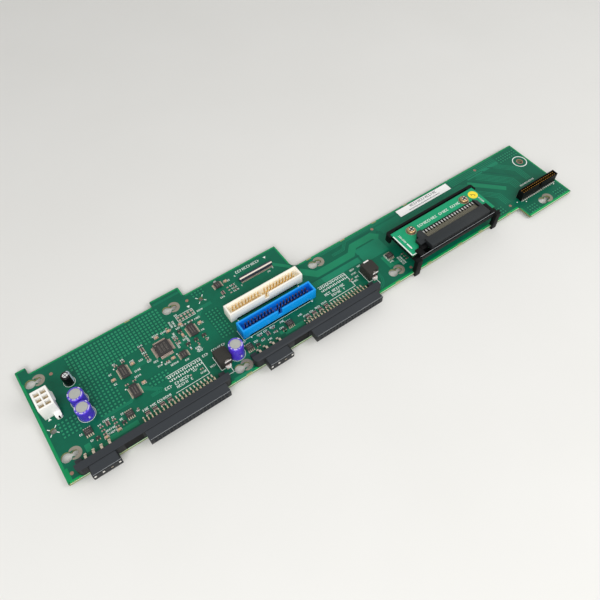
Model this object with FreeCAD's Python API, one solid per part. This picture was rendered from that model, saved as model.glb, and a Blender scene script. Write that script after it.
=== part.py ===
import FreeCAD, Part
import os

# Power backplane board of a rack server, in millimetres.
# One long circuit board carries a power inlet, two drive connectors, ribbon cable headers,
# a panel header and a piggyback board on a plastic bracket with the optical drive's connector.
# While it is built, X runs along the board from its left edge, Y from its drive edge to the rear
# and Z up from its component face. Each node is moved by the same step when it is written,
# so that the origin lies under the middle of the board, at the tips of the soldered pins.

# Circuit board
board_thickness = 1.6
solder_tail = 1.4
hole_play = 0.15
corner_radius = 0.8
step_radius = 4.5

# Drive connectors, one per bay: a bar on the board with a power plug and a signal plug in front
drive_margin = 7.5
bay_gap = 17.8
bar_setback = 0.3
bar_depth = 5.1
bar_height = 7.5
bar_end_radius = 3.0
plug_reach = 6.4
plug_base = 1.0
plug_height = 5.8
plug_gap = 18.2
power_plug_inset = 6.15
power_plug_end = 1.4
power_plug_chamfer = 1.2
power_ways = 4
power_pitch = 5.08
signal_plug_inset = 5.05
signal_plug_end = 3.4
signal_columns = 20
signal_pitch = 2.54
signal_row_pitch = 2.54
contact_width = 0.64
contact_thickness = 0.4
contact_play = 0.13
contact_set_in = 1.2
pocket_size = 1.7
pocket_depth = 4.0
power_contact_width = 1.5
power_contact_thickness = 0.6
upper_knee = 3.2
upper_tail_reach = 7.3
lower_knee = 2.4
lower_tail_reach = 5.0
power_knee = 3.4
power_tail_reach = 6.6
tail_foot = 0.8
circuit_setback = 6.8
peg_tab_width = 4.0
peg_tab_reach = 4.6
peg_tab_height = 3.0
peg_radius = 1.2
peg_inset = 1.0

# Ribbon cable headers, one blue and one cream
header_inset = 4.8
header_front = 23.5
header_gap = 7.1
header_columns = 20
header_pitch = 2.54
header_end = 5.07
header_depth = 9.0
header_height = 9.1
header_wall = 1.2
header_floor = 2.4
header_relief = 1.2
header_foot = 4.6
key_width = 3.4
key_depth = 5.0
pin_size = 0.64
pin_below_rim = 1.0
missing_pin_column = 9

# Power inlet
inlet_left = 4.3
inlet_front = 45.3
inlet_columns = 2
inlet_rows = 3
inlet_pitch = 4.2
inlet_end = 2.9
inlet_height = 12.8
inlet_floor = 3.0
inlet_cavity = 3.4
inlet_pin_size = 1.1
inlet_pin_below_rim = 3.0
inlet_ear_width = 4.0
inlet_ear_reach = 4.2
inlet_ear_height = 2.6
inlet_ear_radius = 1.3
inlet_ear_peg_radius = 1.0
inlet_latch_width = 6.6
inlet_latch_depth = 1.4
inlet_latch_height = 3.6
inlet_latch_below_rim = 0.4

# Floppy cable connector
floppy_offset = 22.9
floppy_behind_header = 16.1
floppy_ways = 26
floppy_pitch = 1.0
floppy_end = 0.9
floppy_depth = 2.6
floppy_height = 2.2
floppy_bar_inset = 0.1
floppy_bar_depth = 1.0
floppy_bar_height = 0.7
floppy_lead_width = 0.5
floppy_lead_reach = 1.6
floppy_lead_foot = 0.8

# Control panel header
panel_gap = 29.7
panel_front = 4.1
panel_columns = 18
panel_pitch = 2.0
panel_end = 2.0
panel_depth = 5.0
panel_height = 8.2
panel_wall = 0.5
panel_floor = 2.4
panel_pin_size = 0.5
panel_pin_below_rim = 0.6
panel_key_width = 2.4
panel_key_depth = 4.0
panel_lead_reach = 1.2
panel_right_margin = 2.15

# Piggyback board and the plastic bracket that carries it
piggy_gap = 30.9
piggy_length = 80.7
piggy_depth = 24.1
piggy_front = 5.8
piggy_lift = 10.4
piggy_thickness = 1.6
bracket_play = 0.2
bracket_left_end = 2.2
bracket_right_end = 1.4
bracket_return = 2.6
bracket_back_wall = 2.6
bracket_corner = 2.0
bracket_lip = 0.6
bracket_skirt = 4.4
groove_end = 5.1
groove_width = 1.0
groove_depth = 2.0
frame_thickness = 1.2
frame_end_rail = 3.2
frame_front_rail = 3.0
frame_rear_rail = 6.0
beam_front = 0.6
beam_depth = 1.2
leg_depth = 1.6
leg_width = 4.4
leg_shift = 1.2
hook_reach = 2.0
clip_offset = 4.2
left_clip_width = 4.6
left_clip_overlap = 2.3
left_clip_thickness = 1.4
right_clip_width = 3.6
right_clip_overlap = 5.6
right_clip_thickness = 1.8
boss_radius = 3.4
screw_from_edge = 6.1
screw_from_end = 14.6
screw_gap = 52.0
screw_radius = 1.45
screw_play = 0.25
screw_depth = 6.0
screw_head_radius = 3.25
screw_head_height = 2.2
screw_head_round = 1.5
screw_cross_length = 4.2
screw_cross_width = 0.9
screw_cross_depth = 1.2

# Optical drive connector on the piggyback board
optical_offset = 2.25
optical_front = 2.0
optical_depth = 8.1
optical_height = 4.8
optical_left_end = 5.8
optical_right_end = 2.2
optical_row_gap = 2.0
optical_ear_length = 4.6
optical_ear_depth = 5.4
optical_ear_start = 6.7
optical_cheek_height = 2.8
optical_tray_side = 1.6
optical_tray_depth = 9.2
optical_tray_floor = 1.0
optical_tray_chamfer = 3.0
optical_lead_width = 1.1
optical_lead_step = 0.4
optical_lead_drop = 2.0
optical_lead_foot = 0.5
optical_upper_knee = 8.0
optical_upper_reach = 8.8
optical_lower_knee = 5.0
optical_lower_reach = 5.9
optical_slot_margin = 0.5

# Stacking connectors between the two boards
stack_from_rear = 11.0
stack_columns = 25
stack_pitch = 1.27
stack_row_gap = 2.54
stack_end = 2.6
stack_depth = 5.0
stack_plug_height = 2.6
stack_pin_size = 0.5
stack_pin_depth = 5.0
stack_slot_play = 0.3

# Capacitors
capacitor_x = 26.4
capacitor_gap = 0.7
inlet_capacitor_setback = 5.3
inlet_capacitor_diameter = 10.0
inlet_capacitor_height = 10.4
inlet_capacitor_lead_pitch = 5.0
bay_capacitor_offset = 13.2
bay_capacitor_setback = 4.9
bay_capacitor_diameter = 10.0
bay_capacitor_height = 12.8
bay_capacitor_lead_pitch = 4.0
small_capacitor_gap = 7.9
small_capacitor_diameter = 6.3
small_capacitor_height = 9.0
small_capacitor_lead_pitch = 2.5
capacitor_lead_radius = 0.3
capacitor_sleeve = 0.3
capacitor_lip = 1.0
capacitor_round = 1.0

# Filter chokes
choke_inset = 1.0
choke_setback = 0.6
choke_width = 9.0
choke_depth = 10.6
choke_height = 8.2
choke_radius = 2.5
choke_recess_width = 3.0
choke_recess_depth = 1.2
choke_recess_inset = 2.6
choke_terminal_thickness = 0.7
choke_terminal_foot = 1.8
choke_terminal_top = 6.0

# Chips
controller_x = 85.9
controller_y = 48.5
controller_size = 10.0
controller_height = 1.4
controller_leads = 11
controller_pitch = 0.8
controller_lead_reach = 1.8
controller_lead_foot = 0.8
buffer_x = 57.5
buffer_y = 31.4
buffer_gap = 16.3
side_buffer_gap = 22.4
side_buffer_step = 1.2
buffer_length = 9.6
buffer_width = 5.0
buffer_leads = 12
buffer_pitch = 0.65
inlet_switch_x = 22.5
inlet_switch_setback = 11.1
gate_switch_x = 47.8
gate_switch_setback = 7.0
bay_switch_offset = 4.4
bay_switch_gap = 31.8
bay_switch_setback = 4.0
end_switch_offset = 25.2
end_switch_setback = 9.6
switch_length = 4.9
switch_width = 3.9
switch_leads = 4
switch_pitch = 1.27
logic_side = 8.8
logic_drop = 12.0
floppy_chip_offset = 8.2
floppy_chip_setback = 22.8
logic_length = 5.0
logic_width = 4.4
logic_leads = 7
logic_pitch = 0.65
chip_height = 1.5
chip_lead_reach = 1.3
chip_lead_knee = 0.25
chip_lead_foot = 0.5
chip_lead_thickness = 0.18
chip_lead_share = 0.45

# Transistors
filter_transistor_gap = 4.5
controller_transistors = 3
controller_transistor_side = 15.0
controller_transistor_pitch = 5.9
controller_transistor_drop = 6.6
controller_transistor_rise = 5.2
bay_transistor_gap = 5.6
bay_transistor_setback = 2.6
transistor_length = 2.9
transistor_width = 1.4
transistor_height = 1.0
transistor_pitch = 1.9
transistor_lead_width = 0.45
transistor_lead_reach = 0.6
transistor_lead_knee = 0.15
transistor_lead_foot = 0.3

# Chip resistors, resistor packs and ceramic capacitors, and where their circuits lie
resistor_length = 1.6
resistor_width = 0.85
resistor_height = 0.5
pack_length = 3.2
pack_width = 1.7
pack_height = 0.6
ceramic_length = 2.4
ceramic_width = 1.5
ceramic_height = 1.1
packs_per_bay = 4
pack_first_column = 1.5
pack_columns = 2
pack_setback = 0.8
filter_x = 30.1
filter_column_gap = 8.2
filter_setback = 1.6
filter_pitch = 2.6
filter_resistors = 3
gate_resistor_gap = 5.6
buffer_part_gap = 7.0
buffer_part_rise = 2.2
buffer_left_gap = 8.0
buffer_left_drop = 1.7
buffer_part_behind = 6.9
buffer_part_side = 2.6
controller_part_gap = 11.6
controller_part_pitch = 2.1
controller_pack_rise = 7.0
controller_right_gap = 9.2
controller_right_step = 1.9
controller_right_pitch = 3.6
controller_behind = 9.7
controller_behind_step = 9.0
controller_before = 10.3
controller_before_side = 2.0
bay_part_inset = 11.0
bay_part_setback = 8.6
bay_resistor_gap = 10.8
bay_resistor_setback = 4.4
bay_resistor_pitch = 3.2
floppy_resistors = 3
floppy_pack_step = 7.6
floppy_ceramic_gap = 6.2
floppy_part_gap = 9.0
floppy_part_setback = 12.4
floppy_part_pitch = 2.5
piggy_resistors = 3
piggy_part_side = 3.5
piggy_part_setback = 7.2
piggy_part_pitch = 2.5

# Asset label and round sticker
label_offset = 26.0
label_length = 51.7
label_width = 6.7
label_from_rear = 1.8
label_thickness = 0.1
sticker_radius = 3.7
sticker_from_screw = 9.4

# Mounting keyholes, tooling holes and the plain screw hole
key_entry_radius = 3.3
key_seat_radius = 2.0
key_seat_offset = 5.3
key_neck = 2.7
keyhole_inset = 5.4
front_keyhole = 16.0
rear_keyhole_gap = 14.5
rear_keyhole_margin = 7.9
tab_keyhole_inset = 15.4
tab_keyhole_margin = 8.6
gap_keyhole_offset = 8.7
gap_keyhole_front = 6.8
step_keyhole_offset = 12.7
step_keyhole_front = 47.5
step_keyhole_margin = 6.56
end_keyhole_offset = 17.7
end_keyhole_front = 8.5
foot_keyhole_inset = 25.6
foot_keyhole_drop = 5.0
screw_hole_radius = 2.0
screw_hole_inset = 7.65
screw_hole_front = 35.6
tooling_radius = 1.9
tooling_front = 36.0
deck_tooling_radius = 1.6
deck_tooling_offset = 8.3
deck_tooling_margin = 9.8

# Steps and tabs of the board's outline
deck_step_inset = 10.6
deck_margin = 10.8
header_right_margin = 1.8
left_tab_width = 7.0
left_tab_height = 5.4
middle_tab_width = 22.2
middle_tab_height = 4.7
foot_tab_length = 45.85
foot_tab_depth = 11.07

# Sizes and places that follow from those above
rest_drop = board_thickness + solder_tail
power_plug_length = (power_ways - 1) * power_pitch + 2 * power_plug_end
signal_plug_length = (signal_columns - 1) * signal_pitch + 2 * signal_plug_end
signal_plug_offset = power_plug_inset + power_plug_length + plug_gap
bar_length = signal_plug_offset + signal_plug_length + signal_plug_inset
bar_back = bar_setback + bar_depth
drive_x = [drive_margin, drive_margin + bar_length + bay_gap]
bay_end = [x + bar_length for x in drive_x]
circuit_front = bar_back + circuit_setback

header_x = drive_x[1] + header_inset
header_length = (header_columns - 1) * header_pitch + 2 * header_end
header_y = [header_front, header_front + header_depth + header_gap]
header_back = header_y[1] + header_depth

inlet_width = (inlet_columns - 1) * inlet_pitch + 2 * inlet_end
inlet_length = (inlet_rows - 1) * inlet_pitch + 2 * inlet_end

floppy_x = header_x + floppy_offset
floppy_y = header_back + floppy_behind_header
floppy_length = (floppy_ways - 1) * floppy_pitch + 2 * floppy_end

piggy_x = bay_end[1] + piggy_gap
piggy_right = piggy_x + piggy_length
piggy_middle = piggy_x + piggy_length / 2
piggy_back = piggy_front + piggy_depth
piggy_top = piggy_lift + piggy_thickness
bracket_left = piggy_x - bracket_left_end
bracket_right = piggy_right + bracket_right_end
bracket_back = piggy_back + bracket_play + bracket_back_wall
bracket_top = piggy_top + bracket_lip
screw_y = piggy_back - screw_from_edge
screw_x = piggy_x + screw_from_end
screw_spots = [(screw_x, screw_y), (screw_x + screw_gap, screw_y)]

panel_x = bracket_right + panel_gap
panel_length = (panel_columns - 1) * panel_pitch + 2 * panel_end

board_length = panel_x + panel_length + panel_right_margin
deck_step = drive_x[1] - deck_step_inset
deck_right = header_x + header_length + header_right_margin
rear_keyhole = inlet_front + inlet_length + rear_keyhole_gap
left_depth = rear_keyhole + rear_keyhole_margin
deck_depth = floppy_y + floppy_depth + deck_margin
right_depth = step_keyhole_front + step_keyhole_margin
rear_reach = left_depth + left_tab_height

keyholes = [
    (keyhole_inset, rear_keyhole),
    (keyhole_inset, front_keyhole),
    (deck_step - tab_keyhole_inset, left_depth - tab_keyhole_margin),
    (bay_end[0] + gap_keyhole_offset, gap_keyhole_front),
    (deck_right + step_keyhole_offset, step_keyhole_front),
    (bay_end[1] + end_keyhole_offset, end_keyhole_front),
    (board_length - foot_keyhole_inset, -foot_keyhole_drop),
]
plain_holes = [
    (board_length - screw_hole_inset, screw_hole_front, screw_hole_radius),
    (keyhole_inset, tooling_front, tooling_radius),
    (deck_step + deck_tooling_offset, deck_depth - deck_tooling_margin, deck_tooling_radius),
]

inlet_capacitor_y = inlet_front - inlet_capacitor_setback
inlet_capacitors = [(capacitor_x, inlet_capacitor_y + side * (inlet_capacitor_diameter + capacitor_gap) / 2)
                    for side in (1, -1)]
small_capacitor = (capacitor_x, inlet_capacitors[0][1] + inlet_capacitor_diameter / 2
                   + small_capacitor_gap + small_capacitor_diameter / 2)
bay_capacitor = (bay_end[0] + bay_capacitor_offset, circuit_front + bay_capacitor_setback)
chokes = [(end - choke_inset, circuit_front + choke_setback) for end in bay_end]

buffers = [
    (buffer_x, buffer_y),
    (buffer_x, buffer_y + buffer_gap),
    (controller_x + side_buffer_gap, controller_y + side_buffer_step),
]
bay_switch_x = drive_x[1] + bay_switch_offset
bay_switch_end = bay_switch_x + bay_switch_gap
switches = [
    (inlet_switch_x, circuit_front + inlet_switch_setback),
    (gate_switch_x, circuit_front + gate_switch_setback),
    (bay_switch_x, circuit_front + bay_switch_setback),
    (bay_switch_end, circuit_front + bay_switch_setback),
    (bay_end[1] + end_switch_offset, circuit_front + end_switch_setback),
]
floppy_chip = (header_x + floppy_chip_offset, header_back + floppy_chip_setback)
logic_chips = [(controller_x + logic_side, controller_y - logic_drop), floppy_chip]

filter_columns = [filter_x, filter_x + filter_column_gap]
filter_front = circuit_front + filter_setback
transistors = [
    (filter_columns[0] - filter_transistor_gap, filter_front + filter_pitch),
    (filter_columns[1] + filter_transistor_gap, filter_front + filter_pitch),
    (controller_x + controller_transistor_side, controller_y + controller_transistor_rise),
    (bay_switch_x + bay_transistor_gap, circuit_front + bay_transistor_setback),
    (bay_switch_end - bay_transistor_gap, circuit_front + bay_transistor_setback),
]
transistor_row = [controller_x + controller_transistor_side + number * controller_transistor_pitch
                  for number in range(controller_transistors)]
transistors += [(x, controller_y - controller_transistor_drop) for x in transistor_row]

# Small parts as their place along X, their place along Y and their turn
packs, resistors, ceramics = [], [], []
pack_y = circuit_front + pack_setback + pack_width / 2
for x in drive_x:
    first_contact = x + signal_plug_offset + signal_plug_end
    for number in range(packs_per_bay):
        column = pack_first_column + number * pack_columns
        packs.append((first_contact + column * signal_pitch, pack_y, 0))
for end in bay_end:
    resistors.append((end - bay_part_inset, circuit_front + bay_part_setback, 0))
for x in filter_columns:
    ceramics.append((x, filter_front, 0))
    for number in range(filter_resistors):
        resistors.append((x, filter_front + (number + 1) * filter_pitch, 0))
packs.append((filter_x + filter_column_gap / 2, filter_front + filter_resistors * filter_pitch, 90))
resistors.append((gate_switch_x + gate_resistor_gap, circuit_front + gate_switch_setback, 90))
ceramics.append((buffers[1][0] - buffer_left_gap, buffers[1][1] - buffer_left_drop, 0))
ceramics.append((buffers[2][0] - buffer_part_gap, buffers[2][1], 90))
for x, y in buffers:
    ceramics.append((x + buffer_part_gap, y + buffer_part_rise, 0))
    resistors += [(x + side * buffer_part_side, y + buffer_part_behind, 0) for side in (-1, 1)]
for number in (-1, 0, 1):
    resistors.append((controller_x - controller_part_gap, controller_y + number * controller_part_pitch, 0))
    ceramics.append((controller_x + (number + 1) * controller_behind_step,
                     controller_y + controller_behind, 0))
packs.append((controller_x - controller_part_gap, controller_y + controller_pack_rise, 90))
for column in (0, 1):
    x = controller_x + controller_right_gap + column * controller_right_step
    resistors += [(x, controller_y + side * controller_right_pitch / 2, 90) for side in (-1, 1)]
resistors.append((controller_x - controller_before_side, controller_y - controller_before, 0))
ceramics.append((controller_x + controller_before_side, controller_y - controller_before, 0))
resistors += [(x, controller_y - controller_before, 90) for x in transistor_row]
for x in (bay_switch_x + bay_resistor_gap, bay_switch_end - bay_resistor_gap):
    resistors += [(x, circuit_front + bay_resistor_setback + row * bay_resistor_pitch, 0) for row in (0, 1)]
packs.append(((bay_switch_x + bay_switch_end) / 2,
              circuit_front + bay_resistor_setback + bay_resistor_pitch / 2, 90))
floppy_part_x = floppy_chip[0] + floppy_part_gap
packs.append((floppy_chip[0], floppy_chip[1] - floppy_pack_step, 90))
ceramics.append((floppy_chip[0] + floppy_ceramic_gap, floppy_chip[1], 0))
for number in range(floppy_resistors):
    resistors.append((floppy_part_x, header_back + floppy_part_setback + number * floppy_part_pitch, 0))
for number in range(piggy_resistors):
    resistors.append((piggy_x + piggy_part_side,
                      piggy_front + piggy_part_setback + number * piggy_part_pitch, 0))

UP = FreeCAD.Vector(0, 0, 1)
HOME = FreeCAD.Vector(0, 0, 0)
ORIGIN_STEP = FreeCAD.Vector(-board_length / 2, (foot_tab_depth - rear_reach) / 2, rest_drop)


def block(x, y, z, length, depth, height):
    """A box from its lowest corner."""
    return Part.makeBox(length, depth, height, FreeCAD.Vector(x, y, z))


def rod(x, y, z, radius, height):
    """An upright cylinder from the middle of its foot."""
    return Part.makeCylinder(radius, height, FreeCAD.Vector(x, y, z))


def placed(shape, x, y, z=0.0, turn=0.0):
    """A copy of a shape, turned about Z and then moved."""
    copy = shape.copy()
    copy.rotate(HOME, UP, turn)
    copy.translate(FreeCAD.Vector(x, y, z))
    return copy


def bent_strip(profile, width):
    """A strip of even width along Y whose side view in X and Z is the profile."""
    points = [FreeCAD.Vector(x, -width / 2, z) for x, z in profile]
    face = Part.Face(Part.makePolygon(points + points[:1]))
    return face.extrude(FreeCAD.Vector(0, width, 0))


def gull_profile(start, knee, end, foot, height, thickness):
    """Side view of a lead that leaves at a height, comes down and lies flat on a foot."""
    half = thickness / 2
    heel = end - foot
    return [(start, height + half), (knee, height + half), (heel, thickness), (end, thickness),
            (end, 0), (heel - half, 0), (knee - half, height - half), (start, height - half)]


def upright_edges(shape, wanted):
    """The upright edges of a shape whose foot passes a test in X and Y."""
    found = []
    for edge in shape.Edges:
        low, high = edge.Vertexes[0].Point, edge.Vertexes[-1].Point
        if abs(low.x - high.x) + abs(low.y - high.y) < 1e-6 and wanted(low.x, low.y):
            found.append(edge)
    return found


def top_rim(shape):
    """The edges that lie in the highest plane of a shape."""
    top = shape.BoundBox.ZMax
    return [edge for edge in shape.Edges if edge.BoundBox.ZMin > top - 1e-6]


def save(node, shapes):
    """Writes one node, a single solid or a group of separate ones."""
    group = shapes[0].copy() if len(shapes) == 1 else Part.makeCompound(shapes)
    group.translate(ORIGIN_STEP)
    group.exportStep("parts/" + node + ".step")


def board_hole(x, y, radius):
    """A round hole through the circuit board."""
    return rod(x, y, -board_thickness, radius, board_thickness)


def keyhole(x, y):
    """Entry circle, neck and seat of a keyhole that runs along X."""
    neck = block(x, y - key_neck / 2, -board_thickness, key_seat_offset, key_neck, board_thickness)
    return neck.fuse([board_hole(x, y, key_entry_radius),
                      board_hole(x + key_seat_offset, y, key_seat_radius)])


def header_pin_spots(front):
    """Places of a ribbon header's pins: two rows, with one pin left out to key the cable."""
    middle = front + header_depth / 2
    spots = []
    for row, side in enumerate((-0.5, 0.5)):
        for column in range(header_columns):
            if row == 0 or column != missing_pin_column:
                spots.append((header_x + header_end + column * header_pitch, middle + side * header_pitch))
    return spots


def inlet_pin_spots():
    """Places of the power inlet's pins."""
    return [(inlet_left + inlet_end + column * inlet_pitch, inlet_front + inlet_end + row * inlet_pitch)
            for column in range(inlet_columns) for row in range(inlet_rows)]


def inlet_peg_spot():
    """Place of the locking peg under the power inlet's ear."""
    return (inlet_left + inlet_width - inlet_ear_width / 2, inlet_front - inlet_ear_reach / 2)


def drive_peg_spots(bay):
    """Places of the two pegs under a drive connector's tabs."""
    y = bar_back + peg_tab_reach - peg_tab_width / 2
    left = drive_x[bay] + peg_inset + peg_tab_width / 2
    return [(left, y), (bay_end[bay] - peg_inset - peg_tab_width / 2, y)]


def capacitor_lead_spots(spot, pitch):
    """Places of a capacitor's two leads."""
    return [(spot[0], spot[1] + side * pitch / 2) for side in (-1, 1)]


def circuit_board():
    """The board: one plate with stepped decks, tabs, keyholes and drilled holes."""
    low = -board_thickness
    plate = block(0, 0, low, board_length, right_depth, board_thickness).fuse([
        block(0, 0, low, deck_step, left_depth, board_thickness),
        block(deck_step, 0, low, deck_right - deck_step, deck_depth, board_thickness),
        block(0, 0, low, left_tab_width, rear_reach, board_thickness),
        block(deck_step - middle_tab_width, 0, low, middle_tab_width,
              left_depth + middle_tab_height, board_thickness),
        block(board_length - foot_tab_length, -foot_tab_depth, low, foot_tab_length,
              foot_tab_depth, board_thickness),
    ]).removeSplitter()

    def in_step(x, y):
        return abs(x - deck_right) + abs(y - right_depth) < 1e-6

    corners = upright_edges(plate, lambda x, y: not in_step(x, y))
    plate = plate.makeFillet(corner_radius, corners)
    plate = plate.makeFillet(step_radius, upright_edges(plate, in_step))

    holes = [keyhole(x, y) for x, y in keyholes]
    holes += [board_hole(x, y, radius) for x, y, radius in plain_holes]
    for front in header_y:
        holes += [board_hole(x, y, pin_size / 2 ** 0.5 + hole_play) for x, y in header_pin_spots(front)]
    holes += [board_hole(x, y, inlet_pin_size / 2 ** 0.5 + hole_play) for x, y in inlet_pin_spots()]
    holes.append(board_hole(*inlet_peg_spot(), inlet_ear_peg_radius + hole_play))
    for bay in range(len(drive_x)):
        holes += [board_hole(x, y, peg_radius + hole_play) for x, y in drive_peg_spots(bay)]
    leads = capacitor_lead_spots(bay_capacitor, bay_capacitor_lead_pitch)
    leads += capacitor_lead_spots(small_capacitor, small_capacitor_lead_pitch)
    for spot in inlet_capacitors:
        leads += capacitor_lead_spots(spot, inlet_capacitor_lead_pitch)
    holes += [board_hole(x, y, capacitor_lead_radius + hole_play) for x, y in leads]
    return plate.cut(Part.makeCompound(holes))


def drive_connector(bay):
    """Housing, signal contacts and power contacts of one drive connector."""
    x = drive_x[bay]
    front = -plug_reach
    through = plug_reach + bar_back
    middle = plug_base + plug_height / 2
    power_x = x + power_plug_inset
    signal_x = x + signal_plug_offset
    bar = block(x, bar_setback, 0, bar_length, bar_depth, bar_height)
    bar = bar.makeFillet(bar_end_radius, upright_edges(bar, lambda cx, cy: cy < bar_back))
    power_plug = block(power_x, front, plug_base, power_plug_length, plug_reach + bar_setback, plug_height)
    shoulders = [edge for edge in top_rim(power_plug) if edge.BoundBox.XLength < power_plug_chamfer]
    pieces = [power_plug.makeChamfer(power_plug_chamfer, shoulders),
              block(signal_x, front, plug_base, signal_plug_length, plug_reach + bar_setback, plug_height)]
    for peg_x, peg_y in drive_peg_spots(bay):
        pieces.append(block(peg_x - peg_tab_width / 2, bar_back, 0, peg_tab_width, peg_tab_reach,
                            peg_tab_height))
        pieces.append(rod(peg_x, peg_y, -rest_drop, peg_radius, rest_drop))
    housing = bar.fuse(pieces).removeSplitter()

    cuts, signals, powers = [], [], []
    wide = contact_width + 2 * contact_play
    tall = contact_thickness + 2 * contact_play
    for side, knee, reach in ((-0.5, lower_knee, lower_tail_reach), (0.5, upper_knee, upper_tail_reach)):
        height = middle + side * signal_row_pitch
        lead = bent_strip(gull_profile(front + contact_set_in, bar_back + knee, bar_back + reach,
                                       tail_foot, height, contact_thickness), contact_width)
        for column in range(signal_columns):
            at = signal_x + signal_plug_end + column * signal_pitch
            signals.append(placed(lead, at, 0, 0, 90))
            cuts.append(block(at - wide / 2, front, height - tall / 2, wide, through, tall))
            cuts.append(block(at - pocket_size / 2, front, height - pocket_size / 2,
                              pocket_size, pocket_depth, pocket_size))
    wide = power_contact_width + 2 * contact_play
    tall = power_contact_thickness + 2 * contact_play
    lead = bent_strip(gull_profile(front, bar_back + power_knee, bar_back + power_tail_reach, tail_foot,
                                   middle, power_contact_thickness), power_contact_width)
    for way in range(power_ways):
        at = power_x + power_plug_end + way * power_pitch
        powers.append(placed(lead, at, 0, 0, 90))
        cuts.append(block(at - wide / 2, front, middle - tall / 2, wide, through, tall))
    return housing.cut(Part.makeCompound(cuts)), signals, powers


def ribbon_header(front):
    """Shroud and pins of one ribbon cable header, with a key slot in its front wall."""
    shroud = block(header_x, front, 0, header_length, header_depth, header_height)
    hollow = block(header_x + header_wall, front + header_wall, header_floor,
                   header_length - 2 * header_wall, header_depth - 2 * header_wall,
                   header_height - header_floor)
    relief = block(header_x + header_foot, front, 0, header_length - 2 * header_foot,
                   header_depth, header_relief)
    key = block(header_x + (header_length - key_width) / 2, front, header_height - key_depth,
                key_width, header_wall, key_depth)
    half = pin_size / 2
    height = rest_drop + header_height - pin_below_rim
    pins = [block(x - half, y - half, -rest_drop, pin_size, pin_size, height)
            for x, y in header_pin_spots(front)]
    return shroud.cut([hollow, relief, key]).cut(Part.makeCompound(pins)), pins


def power_inlet():
    """Housing and pins of the upright power inlet, with a latch ramp and a pegged ear."""
    side = inlet_left + inlet_width
    body = block(inlet_left, inlet_front, 0, inlet_width, inlet_length, inlet_height)
    ear = block(side - inlet_ear_width, inlet_front - inlet_ear_reach, 0, inlet_ear_width,
                inlet_ear_reach, inlet_ear_height)
    ear = ear.makeFillet(inlet_ear_radius, upright_edges(ear, lambda x, y: y < inlet_front))
    peg_x, peg_y = inlet_peg_spot()
    peg = rod(peg_x, peg_y, -rest_drop, inlet_ear_peg_radius, rest_drop)
    latch_top = inlet_height - inlet_latch_below_rim
    latch_foot = latch_top - inlet_latch_height
    ramp = bent_strip([(side, latch_top), (side, latch_foot), (side + inlet_latch_depth, latch_foot)],
                      inlet_latch_width)
    housing = body.fuse([ear, peg, placed(ramp, 0, inlet_front + inlet_length / 2)]).removeSplitter()
    half = inlet_pin_size / 2
    height = rest_drop + inlet_height - inlet_pin_below_rim
    cavities, pins = [], []
    for x, y in inlet_pin_spots():
        cavities.append(block(x - inlet_cavity / 2, y - inlet_cavity / 2, inlet_floor, inlet_cavity,
                              inlet_cavity, inlet_height - inlet_floor))
        pins.append(block(x - half, y - half, -rest_drop, inlet_pin_size, inlet_pin_size, height))
    return housing.cut(Part.makeCompound(cavities)).cut(Part.makeCompound(pins)), pins


def floppy_connector():
    """Housing, cover bar and leads of the low floppy cable connector."""
    housing = block(floppy_x, floppy_y, 0, floppy_length, floppy_depth, floppy_height)
    bar = block(floppy_x, floppy_y + floppy_bar_inset, floppy_height, floppy_length,
                floppy_bar_depth, floppy_bar_height)
    lead = bent_strip(gull_profile(0, chip_lead_knee, floppy_lead_reach, floppy_lead_foot,
                                   floppy_height / 2, chip_lead_thickness), floppy_lead_width)
    leads = [placed(lead, floppy_x + floppy_end + way * floppy_pitch, floppy_y, 0, -90)
             for way in range(floppy_ways)]
    return housing, bar, leads


def panel_header():
    """Shroud and pins of the control panel header, whose leads lie on the board on both sides."""
    shroud = block(panel_x, panel_front, 0, panel_length, panel_depth, panel_height)
    hollow = block(panel_x + panel_wall, panel_front + panel_wall, panel_floor,
                   panel_length - 2 * panel_wall, panel_depth - 2 * panel_wall,
                   panel_height - panel_floor)
    key = block(panel_x + (panel_length - panel_key_width) / 2, panel_front,
                panel_height - panel_key_depth, panel_key_width, panel_wall, panel_key_depth)
    size = panel_pin_size
    top = panel_height - panel_pin_below_rim
    inner = (panel_pitch - size) / 2
    end = panel_depth / 2 + panel_lead_reach
    outer = inner + size
    lead = bent_strip([(inner, 0), (end, 0), (end, size), (outer, size), (outer, top), (inner, top)], size)
    pins = []
    for column in range(panel_columns):
        at = panel_x + panel_end + column * panel_pitch
        pins += [placed(lead, at, panel_front + panel_depth / 2, 0, turn) for turn in (90, -90)]
    return shroud.cut([hollow, key]).cut(Part.makeCompound(pins)), pins


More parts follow.
